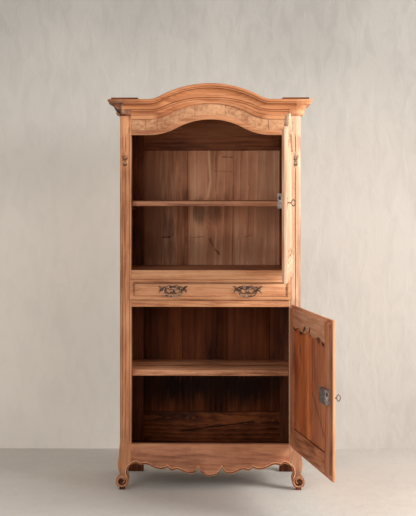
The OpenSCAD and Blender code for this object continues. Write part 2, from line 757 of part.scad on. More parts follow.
// Drawer
drawer_x = half_open - drawer_gap;
drawer_z0 = drawer_sill + 0.3;
drawer_z1 = drawer_head - drawer_gap;
lip_front = front - 0.3 - drawer_lip_t;
lip_x = half_open + drawer_lip;
lip_z0 = drawer_sill - drawer_lip;
lip_z1 = drawer_head + drawer_lip;
front_back = front + drawer_front_t;
module drawer_front() {
    color(wood) difference() {
        union() {
            difference() {
                block(-lip_x, lip_x, lip_front, front - 0.3, lip_z0, lip_z1);
                hull() {
                    block(-lip_x + drawer_rim, lip_x - drawer_rim, lip_front - 1, lip_front - 0.5,
                        lip_z0 + drawer_rim - 4, lip_z1 - drawer_rim + 4);
                    block(-lip_x + drawer_border - 4, lip_x - drawer_border + 4, lip_front + 5, lip_front + 6,
                        lip_z0 + drawer_border - 8, lip_z1 - drawer_border + 8);
                }
            }
            block(-lip_x + drawer_border + 3, lip_x - drawer_border - 3, pull_face, front,
                lip_z0 + drawer_border - 3, lip_z1 - drawer_border + 3);
            block(-drawer_x, drawer_x, front - 0.4, front_back, drawer_z0, drawer_z1);
        }
        for (x = [-pull_x, pull_x], s = [-1, 1]) {
            translate([x + s * post_span / 2, front_back + 1, pull_z]) rotate([90, 0, 0]) cylinder(r = stem_r + 0.02, h = 40);
        }
    }
}
module drawer_sides() {
    color(inner_wood) both() difference() {
        block(drawer_x - drawer_side_t, drawer_x, front_back, front_back + drawer_l, drawer_z0, drawer_z1 - 6);
        block(0, drawer_x - drawer_side_t + 5, front_back - 1, front_back + drawer_l + 1, bottom_z - slack, bottom_z + 8 + slack);
    }
}
bottom_z = drawer_z0 + 8;
module drawer_back() {
    color(inner_wood) block(-drawer_x + drawer_side_t, drawer_x - drawer_side_t, front_back + drawer_l - drawer_side_t,
        front_back + drawer_l, bottom_z + 8, drawer_z1 - 8);
}
module drawer_bottom() {
    color(inner_wood) block(-drawer_x + drawer_side_t - 5, drawer_x - drawer_side_t + 5, front_back, front_back + drawer_l,
        bottom_z, bottom_z + 8);
}

// Pulls: an openwork plate with two posts, and a bail that swings in them
pull_z = (lip_z0 + lip_z1) / 2 + pull_up;
pull_face = lip_front + 2;
bail_y = pull_face - post_out;
stem_r = 2.6;
bail_pin_r = 2.2;
boss_r = 5.5;
module scroll_ring(x, z, r_out, w) {
    translate([x, z]) difference() { circle(r = r_out); circle(r = r_out - w); }
}
module plate_outline() {
    for (s = [-1, 1]) scale([s, 1]) {
        scroll_ring(19, -5, 18, 5);
        scroll_ring(15, 5, 9, 4);
        scroll_ring(43, 0, 12, 4.5);
        scroll_ring(34, 9, 8, 3.5);
        translate([post_span / 2, 0]) circle(r = 8);
        polygon(concat(bow([post_span / 2 - 4, 5], [60, 18], [76, 17], 6),
            bow([76, 17], [66, 10], [post_span / 2 + 6, -2], 6)));
        polygon(concat(bow([post_span / 2 + 6, 2], [72, -4], [72, -20], 6),
            bow([72, -20], [64, -10], [post_span / 2, -6], 6)));
    }
    translate([-4, -21]) square([8, 36]);
    translate([-7, 9]) square([14, 6]);
}
module pull_plate(x) {
    color(bronze) translate([x, 0, pull_z]) difference() {
        union() {
            slab(pull_face - plate_t, pull_face) plate_outline();
            for (s = [-1, 1]) {
                translate([s * post_span / 2, pull_face, 0]) rotate([90, 0, 0]) cylinder(r = boss_r, h = post_out);
                translate([s * post_span / 2, bail_y, 0]) sphere(r = boss_r);
                translate([s * post_span / 2, front_back + 4, 0]) rotate([90, 0, 0])
                    cylinder(r = stem_r, h = front_back + 4 - pull_face);
                translate([s * post_span / 2, front_back + 4, 0]) rotate([90, 0, 0]) cylinder(r = 6, h = 4);
            }
        }
        for (s = [-1, 1]) translate([s * post_span / 2, bail_y, 0]) rotate([0, 90, 0])
            cylinder(r = bail_pin_r + run_gap, h = 4 * boss_r, center = true);
    }
}
module pull_plate_left() { pull_plate(-pull_x); }
module pull_plate_right() { pull_plate(pull_x); }
// A round rod between two points, and a chain of rods with a ball at each bend
module rod(a, b, r) {
    d = b - a;
    translate(a) rotate([0, acos(d[2] / norm(d)), atan2(d[1], d[0])]) cylinder(r = r, h = norm(d));
}
module chain(points, r) {
    for (i = [1:len(points) - 1]) rod(points[i - 1], points[i], r);
    for (p = points) translate(p) sphere(r = r + 0.15);
}
module bail(x) {
    reach = post_span / 2 - boss_r - bail_r - 1.5;
    color(bronze) translate([x, bail_y, pull_z]) {
        for (s = [-1, 1]) {
            rod([s * (reach - bail_r), 0, 0], [s * (post_span / 2 + boss_r), 0, 0], bail_pin_r);
            for (d = [8, 17]) translate([s * d, 0, -bail_drop]) sphere(r = bail_r + 1.4);
        }
        chain([for (s = [-1, 1], k = [0:3]) let (i = s < 0 ? k : 3 - k)
            [s * (reach - [0, 1, 9, 22][i]), 0, -[0, 0.4, 0.8, 1][i] * bail_drop]], bail_r);
    }
}
module bail_left() { bail(-pull_x); }
module bail_right() { bail(pull_x); }

// Doors, drawn shut and then swung open about the hinge pins
hinge_gap = 0.5;
hinge_x = half_open + door_lip + barrel_r + hinge_gap;
hinge_y = front - barrel_r - hinge_gap;
door_out = front - 0.3 - lip_t;
door_x = half_open + door_lip;
inner_x = half_open - door_gap;
module swung(angle) {
    translate([hinge_x, hinge_y, 0]) rotate([0, 0, angle]) translate([-hinge_x, -hinge_y, 0]) children();
}
upper_z0 = upper_sill - door_lip + 1;
upper_z1 = spring_h + door_lip;
lower_z0 = apron_top - lower_door_drop;
lower_z1 = lower_head + door_lip + 3;
panel_in = max(door_x - door_stile_w, arch_half + 1);
groove = 9;
panel_t = 9;
field_t = 5;
door_tenon = 34;
tenon_up = door_gap + 4;
// Wavy inner edge of the rails, raised in the middle and at both ends
function wave(x, w, h) = h * (1 - cos(360 * 1.5 * x / w)) / 2;
function wave_line(z, h, dir) = [for (i = [0:24]) let (x = -panel_in + 2 * panel_in * i / 24)
    [x, z + dir * wave(x, panel_in, h)]];
upper_low_sight = wave_line(upper_z0 + door_rail_h - 16, 18, 1);
upper_high_sight = arch_line(door_lip - door_head_h, panel_in);
lower_low_sight = wave_line(lower_z0 + door_rail_h, 0, 1);
lower_high_sight = wave_line(lower_z1 - door_head_h, 18, -1);
function shifted(pts, dz) = [for (p = pts) p + [0, dz]];

module door_stile(side, z0, z1, open_z0, open_z1, t, low, high) {
    x0 = side * panel_in;
    x1 = side * inner_x;
    difference() {
        union() {
            block(x0, side * door_x, door_out, front - 0.3, z0, z1);
            block(x0, x1, front - 0.31, door_out + t, open_z0 + door_gap, open_z1 - door_gap);
            block(x0, x0 + side * mould_w, door_out - 3, door_out + eps, low[0][1] - mould_w, high[0][1] + mould_w);
        }
        block(x0 - side, x0 + side * (groove + 0.5), panel_y(t) - slack, panel_y(t) + panel_t + slack,
            low[0][1] - groove - 1, high[0][1] + groove + 1);
        for (spot = [[open_z0 + tenon_up, low[0][1] - groove - 3], [high[0][1] + groove + 3, open_z1 - 14]]) {
            block(x0 - side, x0 + side * (door_tenon + 1), panel_y(t) - slack, panel_y(t) + panel_t + slack,
                spot[0] - slack, spot[1] + slack);
        }
    }
}
function panel_y(t) = door_out + (t - panel_t) / 2 + 1;
module door_rail(edge, lip_edge, inner_edge, t, dir, spot) {
    difference() {
        union() {
            slab(door_out, front - 0.3) polygon(concat(edge, flip(lip_edge)));
            slab(front - 0.31, door_out + t) polygon(concat(edge, flip(inner_edge)));
            slab(door_out - 3, door_out + eps) polygon(concat(edge, flip(shifted(edge, dir * mould_w))));
            both() block(panel_in - eps, panel_in + door_tenon, panel_y(t), panel_y(t) + panel_t, spot[0], spot[1]);
        }
        slab(panel_y(t) - slack, panel_y(t) + panel_t + slack)
            polygon(concat(shifted(edge, -dir), flip(shifted(edge, dir * (groove + 0.5)))));
    }
}
module door_panel(low, high, t) {
    inset = 30;
    inner_low = [for (p = low) [p[0] * (panel_in - inset) / panel_in, p[1] + inset]];
    inner_high = [for (p = high) [p[0] * (panel_in - inset) / panel_in, p[1] - inset]];
    slab(panel_y(t), panel_y(t) + panel_t) polygon(concat(
        [[-panel_in - groove, low[0][1] - groove]], shifted(low, -groove),
        [[panel_in + groove, low[0][1] - groove], [panel_in + groove, high[0][1] + groove]],
        shifted(flip(high), groove), [[-panel_in - groove, high[0][1] + groove]]));
    slab(panel_y(t) - field_t, panel_y(t) + eps) polygon(concat(inner_low, flip(inner_high)));
}
// Holes for the ironwork in the stiles
leaf_t = 2.4;
leaf_in = 30;
module keyhole(z, t) {
    translate([key_x, door_out + t + 1, z + key_z]) rotate([90, 0, 0]) cylinder(r = key_r + 0.6, h = t + 8);
    block(key_x - 2.4, key_x + 2.4, door_out - 5, door_out + t + 1, z + key_z - bit_l - 2, z + key_z);
}
module leaf_slots(zs) {
    for (z = zs) {
        block(door_x - leaf_in - 0.5, door_x + 1, hinge_y - leaf_t / 2 - slack, hinge_y + leaf_t / 2 + slack,
            z - slack, z + barrel_l + slack);
    }
}
upper_hinges = [upper_z0 + upper_hinge_low, spring_h - upper_hinge_high];
lower_hinges = [lower_z0 + lower_hinge_low, lower_z1 - lower_hinge_high];
hinge_spots = concat(upper_hinges, lower_hinges);

module upper_door_hinge_stile() {
    color(wood) swung(upper_open) difference() {
        door_stile(1, upper_z0, upper_z1, upper_sill, spring_h, upper_door_t, upper_low_sight, upper_high_sight);
        leaf_slots(upper_hinges);
    }
}
module upper_door_lock_stile() {
    color(wood) swung(upper_open) difference() {
        door_stile(-1, upper_z0, upper_z1, upper_sill, spring_h, upper_door_t, upper_low_sight, upper_high_sight);
        keyhole(upper_lock_z, upper_door_t);
    }
}
module upper_door_top_rail() {
    color(wood) swung(upper_open) door_rail(upper_high_sight, arch_line(door_lip, panel_in),
        arch_line(-door_gap, panel_in), upper_door_t, 1,
        [upper_high_sight[0][1] + groove + 3, spring_h - 14]);
}
module upper_door_bottom_rail() {
    color(wood) swung(upper_open) door_rail(upper_low_sight, [[-panel_in, upper_z0], [panel_in, upper_z0]],
        [[-panel_in, upper_sill + door_gap], [panel_in, upper_sill + door_gap]], upper_door_t, -1,
        [upper_sill + tenon_up, upper_low_sight[0][1] - groove - 3]);
}
module upper_door_panel() {
    color(pale_wood) swung(upper_open) door_panel(upper_low_sight, upper_high_sight, upper_door_t);
}
module lower_door_hinge_stile() {
    color(wood) swung(lower_open) difference() {
        door_stile(1, lower_z0, lower_z1, apron_top, lower_head, lower_door_t, lower_low_sight, lower_high_sight);
        leaf_slots(lower_hinges);
    }
}
module lower_door_lock_stile() {
    color(wood) swung(lower_open) difference() {
        door_stile(-1, lower_z0, lower_z1, apron_top, lower_head, lower_door_t, lower_low_sight, lower_high_sight);
        keyhole(lower_lock_z, lower_door_t);
    }
}
module lower_door_top_rail() {
    color(wood) swung(lower_open) door_rail(lower_high_sight, [[-panel_in, lower_z1], [panel_in, lower_z1]],
        [[-panel_in, lower_head - door_gap], [panel_in, lower_head - door_gap]], lower_door_t, 1,
        [lower_high_sight[0][1] + groove + 3, lower_head - 14]);
}
module lower_door_bottom_rail() {
    color(wood) swung(lower_open) door_rail(lower_low_sight, [[-panel_in, lower_z0], [panel_in, lower_z0]],
        [[-panel_in, apron_top + door_gap], [panel_in, apron_top + door_gap]], lower_door_t, -1,
        [apron_top + tenon_up, lower_low_sight[0][1] - groove - 3]);
}
module lower_door_panel() {
    color(pale_wood) swung(lower_open) difference() {
        door_panel(lower_low_sight, lower_high_sight, lower_door_t);
        block(-panel_joint - 0.3, -panel_joint + 0.3, front - 40, front + 40, 0, shoulder_h);
    }
}

// Barrel hinges: the sockets are let into the door and turn on the pins let into the stile
module finial(z, up) {
    translate([hinge_x, hinge_y, z]) sphere(r = barrel_r - 0.8);
    translate([hinge_x, hinge_y, z + up * 6]) sphere(r = barrel_r - 2.6);
}
module sockets(zs) {
    for (z = zs) difference() {
        union() {
            translate([hinge_x, hinge_y, z + 0.2]) cylinder(r = barrel_r, h = barrel_l - 0.2);
            block(door_x - leaf_in, hinge_x, hinge_y - leaf_t / 2, hinge_y + leaf_t / 2, z + 0.2, z + barrel_l);
            finial(z + barrel_l, 1);
        }
        translate([hinge_x, hinge_y, z - 1]) cylinder(r = hinge_pin_r + run_gap, h = barrel_l - 7);
    }
}
module pins(zs) {
    for (z = zs) {
        translate([hinge_x, hinge_y, z - barrel_l]) cylinder(r = barrel_r, h = barrel_l);
        translate([hinge_x, hinge_y, z - 1]) cylinder(r = hinge_pin_r, h = barrel_l - 10);
        block(hinge_x - leaf_t / 2, hinge_x + leaf_t / 2, hinge_y, front + leaf_in, z - barrel_l, z);
        finial(z - barrel_l, -1);
    }
}
module upper_hinge_sockets() { color(iron) swung(upper_open) sockets(upper_hinges); }
module lower_hinge_sockets() { color(iron) swung(lower_open) sockets(lower_hinges); }
module upper_hinge_pins() { color(iron) pins(upper_hinges); }
module lower_hinge_pins() { color(iron) pins(lower_hinges); }

// Locks: a box on the inner face, a bolt that slides in it and a key that turns
lock_x0 = -inner_x + 2;
key_x = lock_x0 + 34;
key_z = -8;
bit_l = 11;
bolt_z = 6;
bolt_h = 15;
bolt_l = 82;
module lock(z, t) {
    y0 = door_out + t;
    difference() {
        union() {
            block(lock_x0, lock_x0 + lock_l, y0, y0 + lock_t, z - lock_h / 2, z + lock_h / 2);
            // Escutcheon on the outer face
            slab(door_out - 1.5, door_out) translate([key_x, z + key_z - 3]) polygon(concat(
                bow([0, 30], [14, 20], [10, 6], 6), bow([10, 6], [18, -14], [0, -32], 6),
                bow([0, -32], [-18, -14], [-10, 6], 6), bow([-10, 6], [-14, 20], [0, 30], 6)));
        }
        block(lock_x0 + lock_wall, lock_x0 + lock_l - lock_wall, y0 + lock_wall, y0 + lock_t - lock_wall,
            z - lock_h / 2 + lock_wall, z + lock_h / 2 - lock_wall);
        translate([key_x, y0 + lock_wall + 1, z + key_z]) rotate([90, 0, 0])
            cylinder(r = key_r + run_gap, h = t + lock_wall + 8);
        block(key_x - 2, key_x + 2, door_out - 5, y0 + lock_wall + 1, z + key_z - bit_l - 1, z + key_z);
        block(lock_x0 - 1, lock_x0 + lock_wall + 1, y0 + 5 - 0.1, y0 + 15.1, z + bolt_z - 0.1, z + bolt_z + bolt_h + 0.1);
    }
}
module bolt(z, t) {
    block(lock_x0 + 0.3, lock_x0 + bolt_l, door_out + t + 5, door_out + t + 15, z + bolt_z, z + bolt_z + bolt_h);
}
bow_w = 8.5;
bow_h = 14.5;
bow_rod = 2.2;
module key(z, t) {
    tip = door_out + t + lock_wall + 13;
    bow_y = door_out - key_out + bow_w + bow_rod;
    translate([key_x, 0, z + key_z]) {
        rod([0, bow_y + bow_w - 1, 0], [0, tip, 0], key_r);
        rod([0, bow_y + bow_w + 3, 0], [0, bow_y + bow_w + 7, 0], key_r + 1.2);
        block(-1.5, 1.5, tip - 10, tip - 1, -bit_l, 0);
        chain([for (a = [0:30:330]) [0, bow_y + bow_w * cos(a), bow_h * sin(a)]], bow_rod);
        rod([0, bow_y + bow_w * cos(330), bow_h * sin(330)], [0, bow_y + bow_w, 0], bow_rod);
    }
}
module upper_lock() { color(iron) swung(upper_open) lock(upper_lock_z, upper_door_t); }
module lower_lock() { color(iron) swung(lower_open) lock(lower_lock_z, lower_door_t); }
module upper_lock_bolt() { color(iron) swung(upper_open) bolt(upper_lock_z, upper_door_t); }
module lower_lock_bolt() { color(iron) swung(lower_open) bolt(lower_lock_z, lower_door_t); }
module upper_key() { color(iron) swung(upper_open) key(upper_lock_z, upper_door_t); }
module lower_key() { color(iron) swung(lower_open) key(lower_lock_z, lower_door_t); }

front_stile_left();
front_stile_right();
foot_pads();
rear_post_left();
rear_post_right();
frieze_rail();
frieze_band();
rail_over_drawer();
rail_under_drawer();
apron();
side_rails_left();
side_rails_right();
side_panels_left();
side_panels_right();
back_rail_top();
back_rail_middle();
back_rail_bottom();
back_boards_upper();
back_boards_lower();
cornice_front();
cornice_end_left();
cornice_end_right();
roof_boards();
cap_boards();
upper_shelf();
lower_shelf();
shelf_cleats();
upper_floor();
drawer_runners();
bottom_boards();
bottom_bearers();
frame_pegs();
drawer_front();
drawer_sides();
drawer_back();
drawer_bottom();
pull_plate_left();
pull_plate_right();
bail_left();
bail_right();
upper_door_hinge_stile();
upper_door_lock_stile();
upper_door_top_rail();
upper_door_bottom_rail();
upper_door_panel();
upper_lock();
upper_lock_bolt();
upper_key();
upper_hinge_sockets();
upper_hinge_pins();
lower_door_hinge_stile();
lower_door_lock_stile();
lower_door_top_rail();
lower_door_bottom_rail();
lower_door_panel();
lower_lock();
lower_lock_bolt();
lower_key();
lower_hinge_sockets();
lower_hinge_pins();
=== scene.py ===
# %% [markdown]
# A tall French country cupboard, dressed for a portrait. The solid model already has every board in
# its right place and size, so this script is about what makes old wood look like old wood: softened
# edges, carving, grain that runs the way each board was sawn, and iron that has been handled.
# We begin by loading that model, which acts as a fixed frame that nothing below may move.

# %% Load the frame
import math

import bmesh
import bpy
from mathutils import Euler, Matrix, Vector
from mathutils.geometry import interpolate_bezier
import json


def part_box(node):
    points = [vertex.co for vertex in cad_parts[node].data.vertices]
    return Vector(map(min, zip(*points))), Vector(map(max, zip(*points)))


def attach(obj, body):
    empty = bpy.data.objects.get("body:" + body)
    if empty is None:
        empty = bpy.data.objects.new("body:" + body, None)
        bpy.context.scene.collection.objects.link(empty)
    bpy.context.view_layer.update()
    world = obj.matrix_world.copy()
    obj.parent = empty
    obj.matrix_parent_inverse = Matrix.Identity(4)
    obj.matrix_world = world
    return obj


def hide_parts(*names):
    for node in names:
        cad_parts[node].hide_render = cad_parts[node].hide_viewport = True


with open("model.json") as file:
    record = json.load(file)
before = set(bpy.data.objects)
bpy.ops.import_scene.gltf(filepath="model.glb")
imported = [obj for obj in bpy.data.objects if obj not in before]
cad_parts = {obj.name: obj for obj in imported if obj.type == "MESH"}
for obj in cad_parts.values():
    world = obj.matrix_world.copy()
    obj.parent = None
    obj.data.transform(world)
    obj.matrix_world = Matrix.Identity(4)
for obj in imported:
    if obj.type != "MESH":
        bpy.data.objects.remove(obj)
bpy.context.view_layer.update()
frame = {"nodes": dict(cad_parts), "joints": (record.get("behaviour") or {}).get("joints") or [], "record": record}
joints = {joint["name"]: joint for joint in frame["joints"]}
body_of = {
    node: body
    for body, nodes in frame["record"]["behaviour"]["bodies"].items()
    for node in nodes
}

# %% [markdown]
# Most later pieces hang on a few sizes: the front face of the carcase, the edge of its openings, the
# line that both doors turn on and how far each door stands open. We read them from the frame where
# we can, so that a piece made here meets the board it belongs to. The arch is three arcs that flow
# into each other: a crown, and a flank at each side that bends the other way. Its numbers, and half
# the width of the openings, repeat those of the solid.

# %% Sizes that the pieces share
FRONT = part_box("rail_over_drawer")[0][1]
HALF_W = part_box("rear_post_right")[1][0]
HALF_OPEN = 0.408
SPRING = 1.833
RISE = 0.081
ARCH_HALF = 0.318
CROWN_R = 0.361
FLANK_R = (ARCH_HALF**2 + RISE**2) / (2 * RISE) - CROWN_R
TURN = math.asin(ARCH_HALF / (CROWN_R + FLANK_R))
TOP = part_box("rear_post_right")[1][2]
PIVOT = Vector(joints["upper_door_swing"]["pos_m"])
OPEN = {door: math.radians(-joints[door + "_swing"]["range_deg"][0])
        for door in ("upper_door", "lower_door")}
print("front at", round(FRONT, 4), "top at", round(TOP, 4), "flank radius", round(FLANK_R, 4))

# %% [markdown]
# A finish is a small network of nodes, and a network is easier to read as sums. This class wraps
# one socket. Arithmetic on it adds Math nodes, and node() adds any other kind: it takes the node's
# type, its settings, and the values or links of its sockets, and gives back one of its outputs. The
# methods after it are the few kinds that every finish here uses.

# %% Sums on sockets
class Wire:
    """One socket of a material, on which Python's arithmetic adds Math nodes."""

    def __init__(self, tree, socket=None):
        self.tree, self.socket = tree, socket

    def node(self, kind, settings=None, values=None, out=0):
        made = self.tree.nodes.new(kind)
        for name, value in (settings or {}).items():
            if name == "stops":
                ramp = made.color_ramp
                ramp.elements[0].position, ramp.elements[0].color = value[0]
                ramp.elements[-1].position, ramp.elements[-1].color = value[-1]
                for place, colour in value[1:-1]:
                    ramp.elements.new(place).color = colour
            else:
                setattr(made, name, value)
        for name, value in (values or {}).items():
            if isinstance(value, Wire):
                self.tree.links.new(value.socket, made.inputs[name])
            else:
                made.inputs[name].default_value = value
        return Wire(self.tree, made.outputs[out])

    def maths(self, operation, other=0.0, flipped=False):
        pair = (other, self) if flipped else (self, other)
        return self.node("ShaderNodeMath", {"operation": operation}, {0: pair[0], 1: pair[1]})

    def __add__(self, other):
        return self.maths("ADD", other)

    def __radd__(self, other):
        return self.maths("ADD", other)

    def __sub__(self, other):
        return self.maths("SUBTRACT", other)

    def __rsub__(self, other):
        return self.maths("SUBTRACT", other, flipped=True)

    def __mul__(self, other):
        return self.maths("MULTIPLY", other)

    def __rmul__(self, other):
        return self.maths("MULTIPLY", other)

    def ramp(self, low, high):
        """0 where this is under low, 1 where it is over high, and smooth between them."""
        settings = {"interpolation_type": "SMOOTHSTEP"}
        return self.node("ShaderNodeMapRange", settings, {0: self, 1: low, 2: high})

    def noise(self, scale, detail, out="Fac", **more):
        """Cloudy noise, at the place that this socket gives."""
        values = {"Vector": self, "Scale": scale, "Detail": detail, **more}
        return self.node("ShaderNodeTexNoise", values=values, out=out)

    def moved(self, by):
        """The place that this socket gives, moved by another vector."""
        return self.node("ShaderNodeVectorMath", {"operation": "ADD"}, {0: self, 1: by})

    def bump(self, strength, distance):
        """The normal of a surface that is raised where this is high."""
        values = {"Strength": strength, "Distance": distance, "Height": self}
        return self.node("ShaderNodeBump", values=values)

    def axes(self):
        """The three numbers of the place that this socket gives."""
        split = self.node("ShaderNodeSeparateXYZ", values={0: self}).socket.node
        return [Wire(self.tree, socket) for socket in split.outputs]

    def into(self, node, name):
        """Links this socket to a named one of another node."""
        self.tree.links.new(self.socket, node.inputs[name])


def tint(red, green, blue):
    """A colour given as 0 to 255 on a screen, as the shader wants it."""
    linear = [((v / 255 + 0.055) / 1.055) ** 2.4 if v > 10 else v / 3294 for v in (red, green, blue)]
    return (*linear, 1.0)


def mix(share, first, second, kind="MIX"):
    """Mixes two colours, either of which may be a plain colour or a Wire."""
    settings = {"data_type": "RGBA", "blend_type": kind}
    return share.node("ShaderNodeMix", settings, {0: share, 6: first, 7: second}, out=2)


def new_finish(name):
    """An empty material with its shader, and a Wire that gives the place of each point in space."""
    finish = bpy.data.materials.new(name)
    finish.use_nodes = True
    shader = finish.node_tree.nodes["Principled BSDF"]
    return finish, shader, Wire(finish.node_tree).node("ShaderNodeTexCoord", out="Object")


# %% [markdown]
# Wood is a solid pattern: rings round a pith, drawn out along the trunk. A board is a slice of it, so
# the pattern is made in space, not on the surface, and each face of a board then shows the right
# figure by itself. One Mapping node lays the trunk along the board, tilts it a little so that the
# rings run out in pointed arches, and moves it so that no two boards are cut from the same place.
# Over the rings come streaks, pores, broad stains, knots, and dark marks along given lines. The wood
# of a door is described with the door shut and its pin as the origin, and then turned with the door.
# TONE_STOPS places the three tones on the scale of the pattern, WAVE_LENGTH is the width of a ring at
# scale 1, KNOT_SQUASH draws knots and spots out upwards, and DOOR_MIDDLE is the depth, in metres from
# the pin, over which the inner half of a door's thickness begins.

# %% Wood
PALE = (tint(148, 88, 54), tint(194, 132, 90), tint(216, 160, 116))
WARM = (tint(162, 98, 62), tint(208, 143, 99), tint(228, 172, 128))
BURR = (tint(158, 104, 70), tint(188, 134, 94), tint(204, 152, 112))
# LIT_CREAM is painted light: the stile wood made paler for the faces that the window lights, the right stile and
# the upper door.
LIT_CREAM = (tint(172, 126, 94), tint(212, 170, 136), tint(232, 202, 172))
CORNICE = (tint(148, 84, 48), tint(190, 121, 76), tint(214, 150, 105))
SHADED = (tint(82, 46, 30), tint(130, 80, 55), tint(168, 113, 82))
APRON = (tint(122, 70, 44), tint(172, 110, 76), tint(196, 136, 98))
BACK = (tint(146, 92, 64), tint(216, 151, 114), tint(240, 192, 152))
TOP_BACK = (tint(88, 45, 27), tint(146, 88, 56), tint(180, 118, 80))
LOW_BACK = (tint(48, 19, 7), tint(99, 49, 24), tint(140, 78, 40))
SHELF = (tint(106, 62, 40), tint(166, 108, 76), tint(196, 142, 106))
LOW_SHELF = (tint(130, 80, 52), tint(192, 132, 94), tint(218, 164, 124))
DARK = (tint(56, 26, 13), tint(98, 50, 27), tint(134, 76, 45))
DOOR_INSIDE = (tint(122, 66, 40), tint(168, 103, 68), tint(194, 130, 92))
RAIL_INSIDE = (tint(126, 78, 54), tint(176, 120, 88), tint(200, 148, 116))
PANEL_INSIDE = (tint(110, 46, 20), tint(170, 88, 47), tint(206, 124, 74))
LEAF = (tint(66, 36, 22), tint(104, 62, 40), tint(146, 96, 64))
# SHADE_TONES are painted shade: under the apron's bead and in the snails' eyes.
SHADE_TONES = (tint(40, 20, 12), tint(66, 36, 22), tint(96, 58, 38))
# GRIME_AND_SHADE is the colour of both real grime and painted shade.
GRIME_AND_SHADE = tint(34, 16, 8)
# LEG_SHADE is painted shade for the lower part of the stiles.
LEG_SHADE = tint(148, 94, 62)
# FADED_AND_HIGHLIGHT is a pale tone: real pale streaks in the back boards, and painted highlights on the cornice's
# left end.
FADED_AND_HIGHLIGHT = tint(238, 186, 142)
# BACK_SHADE is painted shade over the left of the upper compartment's back, away from the window.
BACK_SHADE = tint(120, 72, 48)
# EDGE_SHADE is painted shade for the upper door's free edge, which faces away from the window.
EDGE_SHADE = tint(176, 112, 76)
LIT_PANEL = tint(190, 102, 52)
DULL_PANEL = tint(166, 102, 68)
LIT_FASCIA = tint(226, 160, 112)
TONE_STOPS = (0.24, 0.50, 0.78)
WAVE_LENGTH = 0.314
KNOT_SQUASH = 0.55
DOOR_MIDDLE = (0.002, 0.004)


